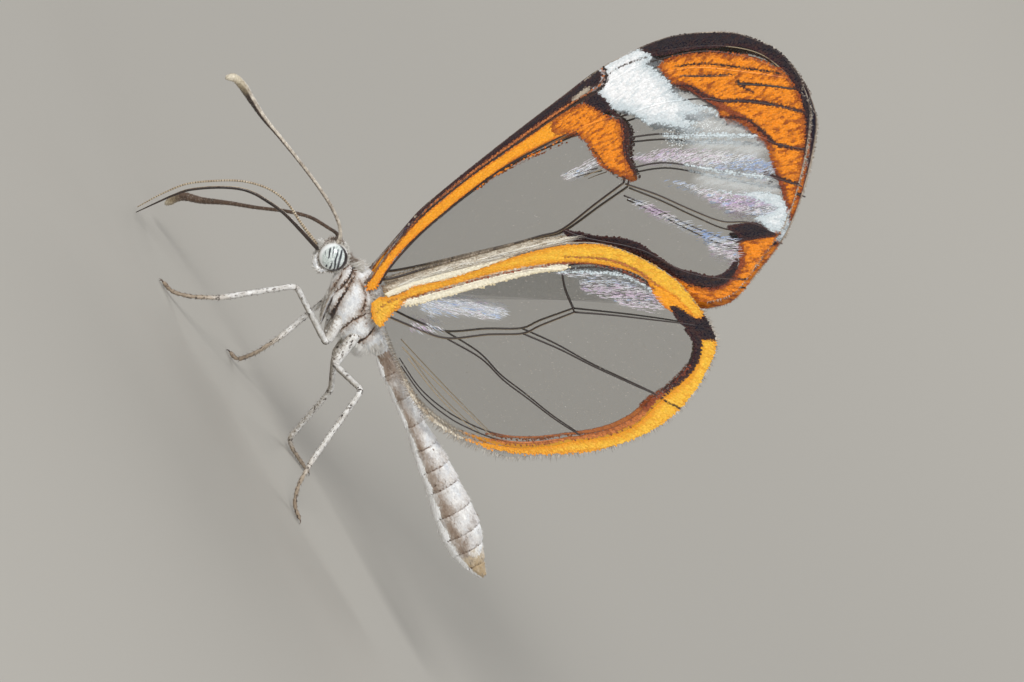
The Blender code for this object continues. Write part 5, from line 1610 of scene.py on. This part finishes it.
def bent_path(points, bend, step):
    """Straight runs between the points with rounded corners, in even steps."""
    points = [np.array(point, float) for point in points]
    path = [points[0]]
    for before, corner, after in zip(points, points[1:], points[2:]):
        into, away = before - corner, after - corner
        start = corner + into / np.linalg.norm(into) * min(bend, 0.45 * np.linalg.norm(into))
        end = corner + away / np.linalg.norm(away) * min(bend, 0.45 * np.linalg.norm(away))
        for t in np.linspace(0, 1, 6):
            path.append((1 - t) ** 2 * start + 2 * t * (1 - t) * corner + t**2 * end)
    path.append(points[-1])
    path = np.array(path)
    along = lengths_along(path)
    places = np.linspace(0, along[-1], int(along[-1] / step))
    return np.stack([np.interp(places, along, path[:, axis]) for axis in range(3)], axis=1), places


def place_of(path, places, point):
    """How far along the path the point nearest to a given one is."""
    return float(places[np.argmin(np.linalg.norm(path - np.array(point), axis=1))])


def leg_markings(points, middles, places, bends):
    """How deep each point lies in a leg's dark underside, brown flecks and tan foot."""
    near = np.min([np.abs(places - bend) for bend in bends], axis=0)
    fleck = np.maximum(wavy(points, 0.2, 13) * 0.08 - 0.075, 0.025 - near)
    under = middles[:, 2] - points[:, 2] - 0.07
    return {"under": under, "fleck": fleck, "tan": (places - bends[-1]) * 0.5, "spot": points}


spine_roots, spine_ways, spine_normals, spine_sizes = [], [], [], []
for (pair, side), line in LEG.items():
    path, places = bent_path(line, KNEE_BEND, 0.06)
    hip, knee, ankle = (place_of(path, places, line[index]) for index in (1, 2, 3))
    end = places[-1]
    upper = (0, hip * 0.9, hip + 0.25, hip + 0.6, knee - 0.5, knee, knee + 0.5)
    stops = (*upper, ankle - 0.3, ankle, ankle + 0.3, end - 0.2, end)
    radii = np.interp(places, stops, LEG_RADII)
    joint = ((places - ankle) / (end - ankle) * FOOT_JOINTS) % 1.0
    neck = FOOT_NECK * np.exp(-((np.minimum(joint, 1 - joint) / 0.1) ** 2))
    radii = radii * np.where(places > ankle + 0.05, 1 - neck, 1.0)
    shell, _ = tube_rings(path, radii, LEG_SIDES, flat_way=(0.3, 0.2, 1.0))
    shell[:, :, 2] = np.maximum(shell[:, :, 2], 0.02)
    points = closed_rings(shell)
    bends = (hip + 0.1, knee, ankle)
    values = leg_markings(points, on_rings(path, LEG_SIDES), on_rings(places, LEG_SIDES), bends)
    nodes = [f"{pair}leg_{part}_{side}" for part in ("coxa", "femur", "tibia", "tarsus")]
    faces = ring_faces(len(shell), LEG_SIDES)
    new_piece(f"{pair}leg_{side}", points, faces, leg_paint, nodes, values)

    rng = np.random.default_rng(83)
    roots, normal, way, unwrap = spots_on(shell, LEG_SCALES, rng)
    kept = roots[:, 2] > 0.12
    roots, normal, way, unwrap = roots[kept], normal[kept], way[kept], unwrap[kept]
    nearest = np.argmin(np.linalg.norm(roots[:, None] - path[None, ::4], axis=2), axis=1) * 4
    values = leg_markings(roots, path[nearest], places[nearest], bends)
    way = way + rng.normal(0, 0.15, way.shape)
    length = 0.12 * rng.uniform(0.8, 1.2, len(roots))
    name = f"{pair}leg_scales_{side}"
    scatter(name, roots, way, normal, length, 0.07, unwrap, values, leg_paint)

    for place in np.arange(knee + 0.6, end - 0.25, SPINE_STEP):
        index = int(np.argmin(np.abs(places - place)))
        for corner in SPINE_CORNERS:
            root = shell[index, (corner + index) % LEG_SIDES if place < ankle else corner]
            out = unit((root - path[index])[None])[0]
            spine_roots.append(root - out * 0.02)
            spine_ways.append(out * 0.7 + unit((path[min(index + 3, len(path) - 1)] - path[index])[None])[0])
            spine_normals.append(out)
            spine_sizes.append(0.24 if place > ankle else 0.17)

    points, faces = [], []
    tip = path[-1]
    ahead = unit((tip - path[-6])[None])[0]
    for spread in (-0.5, 0.5):
        out = np.array((-ahead[1], ahead[0], 0.0)) * spread
        hooked = tip + ahead * 0.17 + out * 0.3 - (0, 0, 0.1)
        claw = smooth_path((tip - ahead * 0.12, tip + ahead * 0.06 + out * 0.14, hooked), 0.03)
        claw[:, 2] = np.maximum(claw[:, 2], 0.05)
        hook, _ = tube_rings(claw, np.linspace(0.05, 0.012, len(claw)), CLAW_SIDES)
        faces.extend(ring_faces(len(hook), CLAW_SIDES, sum(len(part) for part in points)))
        points.append(closed_rings(hook))
    new_piece(f"{pair}leg_claws_{side}", np.vstack(points), faces, claw_paint)

root = np.array(spine_roots)
kept = root[:, 2] > 0.1
count = kept.sum()
hairs(
    "leg_spines", root[kept], np.array(spine_ways)[kept], np.array(spine_normals)[kept],
    np.array(spine_sizes)[kept], 0.02, np.random.default_rng(89).random((count, 2)), np.full(count, 0.05),
    body_hair_paint,
)


# The forelegs: two short brushes folded under the chest, too small to walk on, in blue-grey
# scales with long fine hair. Each hangs from its hip under the front of the thorax.
FORELEG = ((6.5, 0.5, 8.7), (7.0, 0.66, 7.75), (7.9, 0.66, 6.65))
FORELEG_RADII = (0.2, 0.2, 0.19, 0.16, 0.06)
FORELEG_SIDES = 16
FORELEG_HAIRS = 70
foreleg_paint = coat_paint("blue_grey_brush_scales", "#aeb6c0", LEG_COLOURS, "#6a727d", 0.55)

for side, sign in BOTH_SIDES:
    path = smooth_path(np.array(FORELEG) * (1, sign, 1), 0.06)
    shell, _ = tube_rings(path, spread_over(FORELEG_RADII, len(path)), FORELEG_SIDES)
    points = closed_rings(shell)
    across = (points - on_rings(path, FORELEG_SIDES)) @ ACROSS
    values = {"under": -across - 0.02, "fleck": across - 0.02, "tan": np.full(len(points), NOWHERE)}
    values["spot"] = points
    name = f"foreleg_{side}"
    faces = ring_faces(len(shell), FORELEG_SIDES)
    new_piece(name, points, faces, foreleg_paint, (name,), values)
    rng = np.random.default_rng(91)
    roots, normal, way, unwrap = spots_on(shell, FORELEG_HAIRS, rng)
    way = way + normal * 0.25 + rng.normal(0, 0.1, way.shape)
    length = rng.uniform(0.12, 0.3, len(roots))
    tone = rng.uniform(0.0, 1.0, len(roots))
    name = f"foreleg_brush_{side}"
    hairs(name, roots, way, normal, length, 0.011, unwrap, tone, body_hair_paint)
